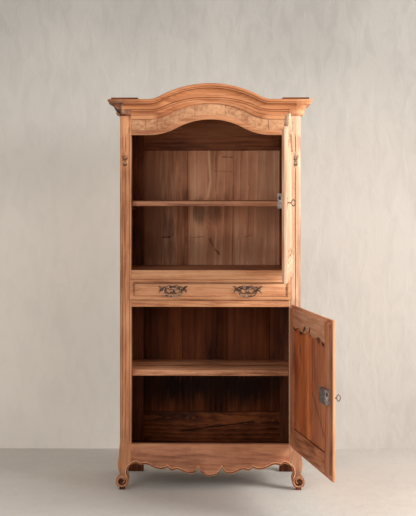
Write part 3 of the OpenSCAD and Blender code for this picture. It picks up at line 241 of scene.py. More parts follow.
def wood(name, tones, along="z", door=None, place=(0, 0, 0), ring=0.011, figure=0.35, stain=0.5,
         streak=1.0, drawn=11.0, marks=(), washes=(), spots=(), knots=(), seams=(), dusty_and_shaded=False,
         relief=0.25, gloss=0.35, outside=None):
    """Wood in a dark, a middle and a light tone, whose trunk lies along an axis.

    ring is the width of a ring in metres, figure is how strongly the rings show, stain is how dark
    the broad stains are, streak is how strongly the fine grain shows and drawn is how far it is drawn
    out. marks lists dark lines from (x, z) to (x, z) with their width and depth, washes lists lines
    with a colour of their own after the depth, spots lists dark dots as (x, z, size, depth), knots
    lists (x, z, size), and seams lists the places across X where one board ends and the next begins.
    A dusty_and_shaded piece carries its own darkening in an attribute, grime that is partly painted shade. relief
    is for the bump and gloss for the waxed finish.
    outside gives a door other tones on its outer half, which then has no marks."""
    finish, shader, spot = new_finish(name)
    if door:
        values = {"Vector": spot, "Location": (PIVOT.x, PIVOT.y, 0), "Rotation": (0, 0, OPEN[door])}
        spot = spot.node("ShaderNodeMapping", {"vector_type": "TEXTURE"}, values)
    stretch = {"x": (drawn, 1, 1), "y": (1, drawn, 1), "z": (1, 1, drawn)}[along]
    tilt = {"x": (0, 0.02, 0.03), "y": (0.02, 0, 0.03), "z": (0.03, 0.02, 0)}[along]
    values = {"Vector": spot, "Location": place, "Rotation": tilt, "Scale": stretch}
    trunk = spot.node("ShaderNodeMapping", {"vector_type": "TEXTURE"}, values)
    across, deep, upright = spot.axes()
    if seams:
        step = sum(across.maths("GREATER_THAN", seam) * (0.31 + 0.17 * i)
                   for i, seam in enumerate(seams))
        shove = {0: step, 1: step * 0.6, 2: step * 0.8}
        trunk = trunk.moved(spot.node("ShaderNodeCombineXYZ", values=shove))

    def distance(x, z):
        away = spot.node("ShaderNodeCombineXYZ",
                         values={0: across - x, 2: (upright - z) * KNOT_SQUASH})
        return away.node("ShaderNodeVectorMath", {"operation": "LENGTH"}, {0: away}, out="Value")

    for x, z, size in knots:
        bulge = (distance(x, z) * (-1.0 / (size * 1.6))).maths("EXPONENT") * (size * 1.1)
        trunk = trunk.moved(spot.node("ShaderNodeCombineXYZ", values={0: bulge, 1: bulge}))
    waver = trunk.noise(2.6, 2.0, out="Color")
    bent = waver.node("ShaderNodeVectorMath", {"operation": "MULTIPLY_ADD"},
                      {0: waver, 1: (0.06, 0.06, 0.06), 2: trunk})
    settings = {"rings_direction": along.upper(), "wave_type": "RINGS", "wave_profile": "SAW"}
    values = {"Vector": bent, "Scale": WAVE_LENGTH / ring, "Distortion": 2.6, "Detail": 3.0,
              "Detail Scale": 5.0, "Detail Roughness": 0.6}
    rings = bent.node("ShaderNodeTexWave", settings, values, out="Fac")
    streaks, pores, broad = bent.noise(62.0, 4.0), trunk.noise(520.0, 2.0), bent.noise(9.0, 3.0)
    patches = spot.noise(4.2, 4.0)
    layers = ((streaks, streak), (pores, 0.35 * streak), (rings, 0.42 * figure), (broad, 0.95),
              (patches, 0.55))
    middle = 0.5 - sum(weight for _, weight in layers) / 2
    tone = sum(layer * weight for layer, weight in layers) + middle

    def toned(three):
        stops = list(zip(TONE_STOPS, three))
        return tone.node("ShaderNodeValToRGB", {"stops": stops}, {0: tone})

    pits = pores.ramp(0.60, 0.72) * streaks.ramp(0.45, 0.62)
    colour = mix(pits * 0.40, toned(tones), tones[0])
    blotch = patches.ramp(0.52, 0.74) * stain
    colour = mix(blotch * 0.6, colour, mix(blotch, tones[1], tones[0]), "MULTIPLY")
    rag = (streaks - 0.5) * 1.2

    def line(start_at, end_at, width, depth):
        (x0, z0), (x1, z1) = start_at, end_at
        length = math.hypot(x1 - x0, z1 - z0)
        ux, uz = (x1 - x0) / length, (z1 - z0) / length
        off = ((across - x0) * uz - (upright - z0) * ux).maths("ABSOLUTE") * (1.0 / width)
        run = (across - x0) * ux + (upright - z0) * uz
        ends = run.ramp(-width, width) * (1.0 - run.ramp(length - width, length + width))
        return (1.0 - (off + rag).ramp(0.1, 1.0)) * ends * depth

    for *wash, shown in washes:
        colour = mix(line(*wash), colour, shown)
    # Knots, spots, marks and the attribute darken towards GRIME_AND_SHADE: some are real knots, joints, cracks and
    # grime, many are painted shade in recesses, gaps and away from the window.
    dirt_and_shade = [(1.0 - (distance(x, z) + streaks * 0.012).ramp(size * 0.5, size * 1.5)) * 0.7
            for x, z, size in knots]
    dirt_and_shade += [(1.0 - (distance(x, z) * (1.0 / size) + rag).ramp(0.4, 1.2)) * depth
             for x, z, size, depth in spots]
    dirt_and_shade += [line(*mark) for mark in marks]
    if dusty_and_shaded:
        carried = spot.node("ShaderNodeAttribute", {"attribute_name": "dust"}, out="Fac")
        dirt_and_shade.append(carried * (0.75 + streaks * 0.5))
    for shade in dirt_and_shade[1:]:
        dirt_and_shade[0] = dirt_and_shade[0].maths("MAXIMUM", shade)
    if outside:
        inner_half = deep.ramp(*DOOR_MIDDLE)
        colour = mix(inner_half, toned(outside), colour)
        dirt_and_shade = [shade * inner_half for shade in dirt_and_shade[:1]]
    if dirt_and_shade:
        colour = mix((dirt_and_shade[0] * (0.60 + broad * 0.7)).maths("MINIMUM", 1.0), colour, GRIME_AND_SHADE)
    colour.into(shader, "Base Color")
    (0.5 + streaks * 0.16 + blotch * 0.1).into(shader, "Roughness")
    (rings * (0.3 * figure) + streaks * 0.7 - pits * 0.6).bump(relief, 0.0009).into(shader, "Normal")
    shader.inputs["Specular IOR Level"].default_value = gloss
    return finish


# %% [markdown]
# Old iron is nearly black in its pits and brighter where hands rub it. The cast pulls are bronze
# under a brown patina. One recipe serves both: a rough skin over metal, thinned by noise.

# %% Metal
def metal(name, skin, bare, rub=0.5, rough=0.42):
    """Metal under a worn skin; rub is how much of the bare metal shows through."""
    finish, shader, spot = new_finish(name)
    pitting, cloud = spot.noise(260.0, 4.0), spot.noise(60.0, 3.0)
    worn = (cloud * 0.6 + pitting * 0.4).ramp(0.62 - 0.3 * rub, 0.80 - 0.3 * rub)
    mix(worn, skin, bare).into(shader, "Base Color")
    (0.30 + 0.65 * worn).into(shader, "Metallic")
    (rough + 0.30 * (1.0 - worn)).into(shader, "Roughness")
    pitting.bump(0.5, 0.0006).into(shader, "Normal")
    return finish


iron = metal("worn_iron", tint(44, 34, 29), tint(128, 116, 105), rub=0.35)
key_iron = metal("key_iron", tint(82, 60, 48), tint(176, 152, 134))
pale_lock_iron = metal("pale_lock_iron", tint(132, 120, 112), tint(186, 176, 168), 0.7, 0.5)
dark_lock_iron = metal("dark_lock_iron", tint(96, 82, 76), tint(156, 144, 140), 0.55, 0.5)
bronze = metal("brown_bronze", tint(82, 56, 44), tint(190, 152, 126), rub=0.45)
# The bails' paler, smoother bronze is partly wear from handling and partly painted highlight.
bright_bronze = metal("handled_and_highlit_bronze", tint(74, 55, 46), tint(214, 196, 184), rough=0.36)
print("metals:", len(bpy.data.materials))

# %% [markdown]
# A solid model has knife edges, and no plank has. Each board here is a copy of its solid with the
# loose triangles joined, flat faces dissolved back to one face, and every sharp edge rounded by
# about a millimetre, as a plane and two centuries of dusting would. The copy rides on the same body
# and stands for the board.

# %% Soften a board
SHARP = math.radians(28)


def placed(name, data):
    """A new object of this data, in the scene."""
    thing = bpy.data.objects.new(name, data)
    bpy.context.scene.collection.objects.link(thing)
    return thing


def mesh_piece(name, bm, finish, body, *nodes, smooth=35):
    """Makes an object of a bmesh, rides it on a body, and lets it stand for the named nodes."""
    mesh = bpy.data.meshes.new(name)
    bm.to_mesh(mesh)
    bm.free()
    mesh.shade_smooth()
    mesh.set_sharp_from_angle(angle=math.radians(smooth))
    mesh.materials.append(finish)
    piece = placed(name, mesh)
    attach(piece, body)
    if nodes:
        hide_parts(*nodes)
    return piece


def solid_copy(node):
    """The solid's triangles as a bmesh with its corners merged and its flat faces whole."""
    bm = bmesh.new()
    bm.from_mesh(frame["nodes"][node].data)
    bmesh.ops.remove_doubles(bm, verts=bm.verts, dist=1e-6)
    bmesh.ops.dissolve_limit(bm, angle_limit=math.radians(1.0), verts=bm.verts, edges=bm.edges,
                             delimit=set())
    return bm


def soften(bm, width):
    """Rounds every sharp edge."""
    sharp = [edge for edge in bm.edges if edge.is_manifold and edge.calc_face_angle(0) > SHARP]
    bmesh.ops.bevel(bm, geom=sharp, offset=width, offset_type="OFFSET", affect="EDGES",
                    segments=2, profile=0.5, clamp_overlap=True, material=-1)
    return bm


def planed(node, finish, width=0.0012):
    """The softened copy of a board."""
    piece = mesh_piece(node + "_planed", soften(solid_copy(node), width), finish, body_of[node], node)
    return piece


# %% [markdown]
# Carving and castings are strokes: a leaf, a curl or a bead is a line that swells and dies away. A
# stroke here is a smooth line through a few points, and a small flattened ring that is extruded from
# each point of it to the next, turned and sized anew each time.

# %% Strokes
STEPS = 5
RING_SIDES = 8


def flowing(points):
    """A smooth line through the points."""
    points = [Vector(point) for point in points]
    line = [points[0]]
    for i, (start, end) in enumerate(zip(points, points[1:])):
        before, after = points[max(i - 1, 0)], points[min(i + 2, len(points) - 1)]
        ahead, back = start + (end - before) / 6, end - (after - start) / 6
        line += interpolate_bezier(start, ahead, back, end, STEPS + 1)[1:]
    return line


def extruded(bm, edges):
    """Extrudes a rim of edges, and gives the corners and the edges of the new rim."""
    new = bmesh.ops.extrude_edge_only(bm, edges=edges)["geom"]
    corners = [g for g in new if isinstance(g, bmesh.types.BMVert)]
    edges = [g for g in new if isinstance(g, bmesh.types.BMEdge)]
    return corners, [edge for edge in edges if all(vert in corners for vert in edge.verts)]


def tube(bm, line, radii, flat):
    """Draws a ring along a line by extruding it from each point to the next."""
    last = None
    for i, (point, radius) in enumerate(zip(line, radii)):
        ahead = (line[min(i + 1, len(line) - 1)] - line[max(i - 1, 0)]).normalized()
        over = Vector((0, 1, 0)).cross(ahead).normalized()
        turn = Matrix((over * radius, ahead.cross(over) * radius * flat, ahead)).transposed().to_4x4()
        place = Matrix.Translation(point) @ turn
        if last is None:
            made = bmesh.ops.create_circle(bm, cap_ends=True, segments=RING_SIDES, radius=1.0,
                                           matrix=place)
            edges = list(made["verts"][0].link_faces[0].edges)
        else:
            corners, edges = extruded(bm, edges)
            bmesh.ops.transform(bm, verts=corners, matrix=place @ last.inverted())
        last = place
    bmesh.ops.edgeloop_fill(bm, edges=edges)


def carved(name, strokes, finish, like, flat=0.8):
    """One piece of many strokes, each with its radius at the start, the middle and the end."""
    bm = bmesh.new()
    for points, (first, middle, final) in strokes:
        line = flowing(points)
        shares = [i / (len(line) - 1) for i in range(len(line))]
        radii = [first * (1 - s) * (1 - 2 * s) + 4 * middle * s * (1 - s) + final * s * (2 * s - 1)
                 for s in shares]
        tube(bm, line, radii, flat)
    bmesh.ops.recalc_face_normals(bm, faces=bm.faces)
    piece = mesh_piece(name, bm, finish, body_of[like], smooth=60)
    return piece


# %% [markdown]
# Now the boards, one finish for each way a board was sawn and lies. The grain of stiles, posts and
# panels stands upright and that of rails, shelves and floors lies along the front. Dark marks are
# mostly painted shade: in the flutes, round the carved plumes, under the cornice, above and under the
# drawer's lip and in the gaps of the lower door; others follow real joints, cracks and knots. Most of
# them stand or lie level, so two small functions write such a line down.

# %% Lines on the boards
def stand(x, low, high, *rest):
    """A line that stands at x, followed by its width, its depth and perhaps its colour."""
    return (x, low), (x, high), *rest


def level(z, left, right, *rest):
    """A line that lies at the height z, followed in the same way."""
    return (left, z), (right, z), *rest


# %% The carcase's woods
PLUME_X = 0.442
SCROLL_X, SCROLL_Z = 0.456, 0.043
FLUTES_X = (0.4385, 0.4527, 0.4635)
STILE_EDGE_X = 0.4165
LEG_X = 0.44
LIP_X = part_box("drawer_front")[1][0]
LIP_LOW, LIP_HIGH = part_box("drawer_front")[0][2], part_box("drawer_front")[1][2]
LOW_RAIL_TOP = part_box("back_rail_bottom")[1][2]
RAIL_X = 0.406


def stile_wood(name, tones, side, place, stain):
    """A corner stile's wood, with painted shade in its three flutes, in the quirk beside its opening, round its
    carving and in its snail's eye, and over its lower part.
    """
    # Painted shade: dark lines in the flutes, in the quirk at the opening's edge (darkest beside the drawer's lip)
    # and round the palmette; the spots paint shade round the palmette, in the snail's eye and near the top of the
    # opening.
    marks = [stand(side * x, low, high, 0.0026, 0.50)
             for x in FLUTES_X for low, high in ((0.262, 1.65), (1.762, 1.822))]
    edges = ((0.25, LIP_LOW, 0.5), (LIP_LOW, LIP_HIGH, 0.95), (LIP_HIGH, 1.83, 0.5))
    marks += [stand(side * STILE_EDGE_X, low, high, 0.002, depth) for low, high, depth in edges]
    marks += [((side * (PLUME_X + u * 0.3), 1.702), (side * (PLUME_X + u), 1.728), 0.0022, 0.85)
              for u in (-0.0165, -0.0095, -0.003, 0.004, 0.0105, 0.017)]
    marks.append(level(1.679, side * (PLUME_X - 0.012), side * (PLUME_X + 0.010), 0.004, 0.8))
    spots = [(side * PLUME_X, 1.690, 0.013, 0.55), (side * SCROLL_X, SCROLL_Z, 0.040, 0.38),
             (side * 0.420, 1.86, 0.010, 0.25)]
    # LEG_SHADE paints shade over the foot, and on the left also over the stile's lower half, where the open doors
    # keep the window's light off.
    washes = [stand(side * LEG_X, -0.10, 0.27, 0.09, 0.9 if side > 0 else 0.45, LEG_SHADE)]
    if side < 0:
        washes.append(stand(-LEG_X, 0.20, 0.95, 0.10, 0.35, LEG_SHADE))
    return wood(name, tones, "z", place=place, ring=0.009, stain=stain, streak=0.75, spots=spots,
                marks=marks, washes=washes)


left_stile_wood = stile_wood("left_stile_wood", WARM, -1, (-0.60, -0.31, 0.4), 0.55)
# The right stile and its palmette take LIT_CREAM, painted light where the window falls on them.
right_stile_wood = stile_wood("right_stile_wood", LIT_CREAM, 1, (0.36, -0.36, 1.4), 0.4)
frieze_wood = wood("frieze_wood", PALE, "x", place=(0.1, -0.21, 1.72), ring=0.012, figure=0.3,
                   streak=0.8)
burr_wood = wood("burr_wood", BURR, "x", place=(0.2, -0.3, 1.85), ring=0.004, figure=0.6,
                 relief=0.1, drawn=1.3, streak=1.4, stain=0.1, seams=[-0.336, 0.077, 0.300],
                 spots=[(0.097, 1.952, 0.0035, 1.0)],
                 marks=[stand(0.077, 1.93, 2.0, 0.0016, 0.9), stand(-0.336, 1.85, 1.92, 0.0016, 0.8),
                        stand(0.301, 1.86, 1.93, 0.0016, 0.8),
                        ((-0.273, 1.86), (-0.268, 1.94), 0.0014, 0.6)])
# The two level marks on rail_wood paint the shadow lines just above and under the drawer's lip.
rail_wood = wood("rail_wood", PALE, "x", place=(0.4, -0.30, 1.07), ring=0.010, stain=0.4,
                 streak=0.8, marks=[level(LIP_HIGH + 0.0012, -RAIL_X, RAIL_X, 0.0035, 0.35),
                                    level(LIP_LOW - 0.0018, -RAIL_X, RAIL_X, 0.0045, 1.0)])
apron_wood = wood("apron_wood", APRON, "x", place=(-0.3, -0.33, 0.25), ring=0.012, stain=0.8,
                  streak=0.7, marks=[level(0.236, -0.40, 0.40, 0.0025, 0.45)])
side_wood = wood("side_wood", PALE, "z", place=(0.5, 0.1, 0.9), ring=0.014, figure=0.6, streak=0.6)
post_wood = wood("post_wood", DARK, "z", place=(0.45, 0.4, 0.7), ring=0.012, streak=0.7, gloss=0.12)
# In BACK_MARKS the broad band low down and the broad line on the right paint shade; the narrow lines follow the
# joints and figure of the boards.
BACK_MARKS = [
    stand(-0.131, 1.13, 1.77, 0.0024, 0.8), stand(0.119, 1.13, 1.77, 0.0022, 0.45),
    stand(0.215, 1.13, 1.77, 0.0018, 0.35), stand(0.31, 1.13, 1.77, 0.09, 0.25),
    level(1.20, -0.38, 0.38, 0.16, 0.45),
    ((-0.012, 1.285), (0.012, 1.228), 0.016, 0.75), ((0.012, 1.228), (0.050, 1.187), 0.014, 0.8),
    ((0.06, 1.730), (0.118, 1.727), 0.006, 0.5), ((0.012, 1.652), (0.115, 1.648), 0.005, 0.3),
    ((-0.200, 1.365), (-0.204, 1.320), 0.012, 0.4), ((-0.204, 1.320), (-0.222, 1.288), 0.010, 0.65),
    ((-0.222, 1.288), (-0.276, 1.286), 0.008, 0.9), ((-0.12, 1.283), (-0.04, 1.290), 0.008, 0.5),
    ((0.175, 1.285), (0.225, 1.300), 0.008, 0.5),
]
back_wood = wood("back_wood", BACK, "z", place=(0.02, 0.32, 1.3), ring=0.045, streak=0.22,
                 gloss=0.15, seams=[-0.131, 0.119], marks=BACK_MARKS,
                 # The first wash paints shade over the left of the compartment; the FADED_AND_HIGHLIGHT ones are
                 # pale streaks of the boards themselves.
                 washes=[stand(-0.33, 1.10, 1.80, 0.24, 0.75, BACK_SHADE),
                         ((-0.020, 1.50), (-0.006, 1.60), 0.014, 0.9, FADED_AND_HIGHLIGHT),
                         ((-0.006, 1.60), (-0.016, 1.78), 0.012, 0.9, FADED_AND_HIGHLIGHT),
                         ((0.03, 1.52), (0.045, 1.74), 0.012, 0.4, FADED_AND_HIGHLIGHT)],
                 knots=[(-0.071, 1.424, 0.014), (0.003, 1.424, 0.012), (-0.017, 1.360, 0.008)],
                 spots=[(-0.062, 1.425, 0.045, 0.55), (0.02, 1.43, 0.045, 0.5),
                        (-0.235, 1.33, 0.05, 0.4)])
# The broad level mark paints the shadow under the lower shelf, and the broad line on the left paints shade; the
# narrow ones are the boards' joints.
low_back_wood = wood("low_back_wood", LOW_BACK, "z", place=(-0.2, 0.33, 0.6), ring=0.030,
                     gloss=0.1, streak=0.22, figure=0.25, seams=[-0.161, 0.086, 0.320],
                     knots=[(-0.010, 0.650, 0.012)],
                     marks=[level(0.47, -0.39, 0.39, 0.17, 1.0), stand(0.086, 0.6, 0.95, 0.003, 0.9),
                            stand(0.320, 0.6, 0.95, 0.003, 0.9), stand(-0.161, 0.6, 0.95, 0.003, 0.5),
                            stand(-0.30, 0.93, 0.62, 0.10, 0.35)])
cross_wood = wood("cross_wood", LOW_BACK, "x", place=(0.2, 0.29, 0.31), ring=0.020, figure=0.7,
                  streak=0.5, drawn=4.0, gloss=0.1,
                  knots=[(-0.116, 0.288, 0.014), (0.02, 0.330, 0.008)],
                  marks=[((-0.169, 0.220), (0.019, 0.244), 0.006, 0.95),
                         ((0.019, 0.244), (0.236, 0.274), 0.006, 0.95),
                         level(LOW_RAIL_TOP, -0.37, 0.37, 0.007, 0.95)])
top_rail_wood = wood("top_rail_wood", TOP_BACK, "x", place=(0.1, 0.31, 1.9), ring=0.016,
                     streak=0.55, gloss=0.15)
shelf_wood = wood("shelf_wood", SHELF, "x", place=(0.3, -0.15, 1.0), ring=0.012)
low_shelf_wood = wood("low_shelf_wood", LOW_SHELF, "x", place=(0.2, -0.2, 0.6), ring=0.012)
floor_wood = wood("floor_wood", DARK, "x", place=(0.1, 0.1, 0.2), ring=0.014, gloss=0.12)
# The drawer front's marks paint shade in its sunk border, darkest along the top, where the border faces down.
GROOVE_X, GROOVE_LOW, GROOVE_HIGH = LIP_X - 0.0235, LIP_LOW + 0.0175, LIP_HIGH - 0.0175
drawer_wood = wood("drawer_front_wood", PALE, "x", place=(-0.2, -0.22, 0.98), ring=0.012, streak=0.8,
                   marks=[stand(-GROOVE_X, GROOVE_LOW, GROOVE_HIGH, 0.006, 0.5),
                          stand(GROOVE_X, GROOVE_LOW, GROOVE_HIGH, 0.006, 0.5),
                          level(GROOVE_HIGH, -GROOVE_X, GROOVE_X, 0.009, 0.55),
                          level(GROOVE_LOW, -GROOVE_X, GROOVE_X, 0.004, 0.3)])

# %% The carcase's boards
for node in ("rear_post_left", "rear_post_right"):
    planed(node, post_wood, 0.002)
for node in ("side_rails_left", "side_rails_right"):
    finish = wood(node + "_wood", PALE, "y", place=(0.4, 0.0, 0.6), ring=0.012, streak=0.6)
    planed(node, finish, 0.0015)
for node in ("side_panels_left", "side_panels_right"):
    planed(node, side_wood, 0.0015)
planed("back_rail_top", top_rail_wood)
for node in ("back_rail_middle", "back_rail_bottom"):
    planed(node, cross_wood)
planed("back_boards_upper", back_wood)
planed("back_boards_lower", low_back_wood)
planed("upper_shelf", shelf_wood, 0.003)
planed("lower_shelf", low_shelf_wood, 0.003)
for node in ("shelf_cleats", "drawer_runners", "bottom_bearers"):
    planed(node, wood(node + "_wood", DARK, "y", place=(0.4, 0.0, 0.6)), 0.0015)
for node in ("roof_boards", "cap_boards", "bottom_boards"):
    planed(node, floor_wood, 0.0015)
planed("upper_floor", shelf_wood, 0.0015)
for node in ("rail_over_drawer", "rail_under_drawer"):
    planed(node, rail_wood, 0.0015)
planed("frieze_rail", frieze_wood, 0.002)
planed("frieze_band", burr_wood, 0.0001)
planed("apron", apron_wood, 0.0018)
planed("frame_pegs", left_stile_wood, 0.0002)
planed("foot_pads", post_wood, 0.002)
planed("front_stile_left", left_stile_wood)
planed("front_stile_right", right_stile_wood)
planed("drawer_front", drawer_wood, 0.0015)
for node in ("drawer_sides", "drawer_back", "drawer_bottom"):
    planed(node, shelf_wood, 0.001)

# %% [markdown]
# The doors stand open, so their trunks are turned with them. The stiles and panels grow upright, the
# rails lie across. Inside the lower door, dark marks paint the shade in the gaps that have opened
# between its scalloped rail and the panel, along the panel's foot and in the rebate of its free edge,
# and show the open joint and curled figure of the panel itself. The upper door's paler tones are
# painted light, and its free edge painted shade.

# %% The doors
# GAP_SHADOWS paint the shade in the gaps between the lower door's scalloped rail and its panel.
GAP_SHADOWS = [
    ((-0.105, 0.852), (-0.150, 0.836), 0.016, 1.0), ((-0.21, 0.836), (-0.300, 0.842), 0.013, 1.0),
    ((-0.310, 0.846), (-0.365, 0.884), 0.015, 1.0), ((-0.425, 0.838), (-0.462, 0.888), 0.015, 1.0),
    ((-0.580, 0.842), (-0.625, 0.838), 0.020, 1.0), ((-0.660, 0.835), (-0.715, 0.830), 0.014, 1.0),
]
# The first of these paints the shadow along the panel's foot; the rest follow its open joint and curled figure.
PANEL_MARKS_AND_SHADOW = [
    level(0.334, -0.105, -0.735, 0.008, 1.0), stand(-0.472, 0.835, 0.335, 0.005, 0.7),
    ((-0.476, 0.578), (-0.750, 0.383), 0.008, 0.8), ((-0.50, 0.83), (-0.56, 0.60), 0.010, 0.4),
    ((-0.26, 0.62), (-0.32, 0.36), 0.016, 0.35), ((-0.36, 0.66), (-0.28, 0.34), 0.012, 0.35),
    ((-0.19, 0.84), (-0.25, 0.70), 0.014, 0.5), ((-0.25, 0.70), (-0.20, 0.62), 0.010, 0.4),
    ((-0.56, 0.70), (-0.68, 0.40), 0.010, 0.35),
]
# Painted shade down the upper door's free edge.
UPPER_EDGE_SHADE = [stand(-0.834, 1.0, 1.95, 0.009, 1.0, EDGE_SHADE)]
DOOR_LOOKS = {
    # The upper door takes LIT_CREAM as painted light, with painted shade down its free edge.
    "upper": {
        "stile": {"tones": LIT_CREAM, "washes": UPPER_EDGE_SHADE},
        "rail": {"tones": LIT_CREAM, "washes": UPPER_EDGE_SHADE},
        "panel": {"tones": LIT_CREAM},
        "lock": pale_lock_iron,
    },
    "lower": {
        # The lower door's stile mark paints the shade in the rebate of its free edge.
        "stile": {"tones": DOOR_INSIDE, "outside": PALE,
                  "marks": [stand(-0.831, 0.25, 0.94, 0.0018, 0.6)]},
        "rail": {"tones": RAIL_INSIDE, "outside": PALE, "marks": GAP_SHADOWS},
        "panel": {"tones": PANEL_INSIDE, "outside": PALE, "marks": GAP_SHADOWS + PANEL_MARKS_AND_SHADOW,
                  "seams": [-0.472], "drawn": 4.0,
                  "knots": [(-0.227, 0.752, 0.018), (-0.47, 0.60, 0.012)],
                  "washes": [stand(-0.28, 0.30, 0.90, 0.20, 0.5, LIT_PANEL),
                             stand(-0.62, 0.30, 0.90, 0.20, 0.75, DULL_PANEL)]},
        "lock": dark_lock_iron,
    },
}
for name, looks in DOOR_LOOKS.items():
    door = name + "_door"
    upright = wood(door + "_upright_wood", along="z", door=door, place=(0.5, -0.9, 0.8),
                   streak=0.8, **looks["stile"])
    lying = wood(door + "_rail_wood", along="x", door=door, place=(0.1, -0.8, 0.7), ring=0.012,
                 streak=0.7, **looks["rail"])
    field = wood(door + "_panel_wood", along="z", door=door, place=(0.3, -0.7, 0.5), ring=0.040,
                 figure=0.5, streak=0.35, **looks["panel"])
    footing = lying
    if name == "lower":
        footing = wood(door + "_footing_wood", DOOR_INSIDE, "x", door, (0.1, -0.8, 0.7), outside=PALE)
    for part, finish in (("hinge_stile", upright), ("lock_stile", upright), ("top_rail", lying),
                         ("bottom_rail", footing), ("panel", field)):
        planed(f"{door}_{part}", finish, 0.0015)
    planed(f"{name}_lock", looks["lock"], 0.0006)
    planed(f"{name}_lock_bolt", iron, 0.0006)
    planed(f"{name}_key", key_iron, 0.0006)
    for part in ("hinge_sockets", "hinge_pins"):
        planed(f"{name}_{part}", iron, 0.0005)

# %% [markdown]
# Each corner is carved with a small palmette: five leaves over a bud between two curls. The leaves
# are strokes that lie on the stile and turn its round corner with it. They are shallow, because the
# upper door folds back close over the right one.

# %% The palmettes
CORNER_R = 0.024
RELIEF = 0.4
FLATNESS = 0.45
PALMETTE_X = 0.4395
LEAF_ROOT = 1.7030
LEAF_TIPS = ((-0.0150, 1.7150), (-0.0085, 1.7250), (0.0, 1.7290), (0.0085, 1.7250), (0.0150, 1.7150))
CURL = ((0.002, 1.6985), (0.008, 1.6975), (0.0125, 1.6925), (0.0105, 1.6865), (0.0065, 1.6890))
UNDER = ((-0.0110, 1.6850), (-0.0050, 1.6770), (0.0050, 1.6770), (0.0110, 1.6850))
TAIL = ((0.0, 1.6700), (0.0, 1.6640), (0.0, 1.6600))
BUD = ((0.0, 1.6930), (0.0, 1.6895), (0.0, 1.6860))


def on_stile(side, points, lift, radii):
    """A stroke through points of a stile's face, each as (across from the palmette's middle, z)."""
    places = []
    for across, z in points:
        x = PALMETTE_X + across
        over = max(0.0, x - (HALF_W - CORNER_R))
        sunk = CORNER_R - math.sqrt(CORNER_R**2 - over**2)
        places.append((side * x, FRONT + sunk - lift * RELIEF, z))
    return places, radii


carving = {-1: wood("left_carving_wood", WARM, "z", place=(-0.5, -0.3, 0.2)),
           # The right palmette's LIT_CREAM is painted light.
           1: wood("right_carving_wood", LIT_CREAM, "z", place=(0.5, -0.3, 0.2))}
leaf_wood = wood("leaf_wood", LEAF, "z", gloss=0.1)
# shade_wood paints shade under the apron's bead and in the snails' eyes.
shade_wood = wood("painted_shade_wood", SHADE_TONES, "x", gloss=0.1)
for side, word in ((-1, "left"), (1, "right")):
    leaves = []
    for tip, height in LEAF_TIPS:
        bend = (tip * 0.60, LEAF_ROOT + (height - LEAF_ROOT) * 0.55)
        points = ((tip * 0.25, LEAF_ROOT), bend, (tip, height))
        leaves.append(on_stile(side, points, 0.0016, (0.0012, 0.0024, 0.0006)))
    leaves.append(on_stile(side, UNDER, 0.0016, (0.0008, 0.0026, 0.0008)))
    strokes = []
    for hand in (-1, 1):
        curl = [(hand * across, z) for across, z in CURL]
        strokes.append(on_stile(side, curl, 0.0016, (0.0010, 0.0018, 0.0008)))
    strokes.append(on_stile(side, TAIL, 0.0010, (0.0016, 0.0012, 0.0004)))
    strokes.append(on_stile(side, BUD, 0.0024, (0.0012, 0.0044, 0.0012)))
    carved(f"palmette_{word}", strokes, carving[side], f"front_stile_{word}", FLATNESS)
    carved(f"palmette_leaves_{word}", leaves, leaf_wood, f"front_stile_{word}", FLATNESS)
    print("palmette", word, len(strokes) + len(leaves), "strokes")

# %% [markdown]
# The feet are snails. A rope of wood winds into each from the leg, over a dark disc that paints the
# shade of its sunk eye, and a bead runs from foot to foot along the scalloped edge of the apron, in
# paler wood as a painted highlight. Its line is read off the solid, whose flat band stands a little
# proud there. A thin dark line under it paints the bead's shadow.

# %% Snails and beads
BAND_PROUD = 0.002
FEET_TOP = 0.15


def band_line(node, key, other, keep):
    """The middle of the raised band on a solid, as points (x, z)."""
    rows = {}
    for vert in frame["nodes"][node].data.vertices:
        if abs(vert.co.y - (FRONT - BAND_PROUD)) < 1e-5 and keep(vert.co):
            rows.setdefault(round(vert.co[key], 4), []).append(vert.co[other])
    pairs = [(place, (min(found) + max(found)) / 2) for place, found in sorted(rows.items())]
    return pairs if key == 0 else [(x, z) for z, x in pairs]


def foot_to_foot(lift, drop):
    """The whole line of the bead, or of the wax so far below it."""
    half = {}
    for side, name in ((-1, "left"), (1, "right")):
        leg = band_line(f"front_stile_{name}", 2, 0, lambda place: place.z < FEET_TOP)
        half[side] = [(x - side * drop, FRONT - lift, z) for x, z in leg]
    middle = [(x, FRONT - lift, z - drop) for x, z in band_line("apron", 0, 2, lambda place: True)]
    link_x = (abs(middle[0][0]) + abs(half[1][-1][0])) / 2 + 0.002
    link_z = (middle[0][2] + half[1][-1][2]) / 2 + 0.003
    links = [(side * (link_x - drop / 2), FRONT - lift, link_z) for side in (-1, 1)]
    return half[-1] + links[:1] + middle + links[1:] + half[1][::-1]


snail_wood = wood("snail_wood", APRON, "x", place=(-0.5, -0.3, 0.2))
# The bead takes the paler carving wood as a painted highlight; the second line paints the shadow under it.
for word, lift, drop, radius, finish in (("bead", 0.0020, 0.0, 0.0026, carving[-1]),
                                         ("wax", 0.0002, 0.0056, 0.0014, shade_wood)):
    line = foot_to_foot(lift, drop)
    carved(f"apron_{word}", [(line, (radius, radius, radius))], finish, "apron")
    print(word, len(line), "places")
turns = [(math.radians(70 + 25 * i), 0.0262 - 0.0003 * i if i < 14 else 0.0220 - 0.0021 * (i - 14))
         for i in range(22)]
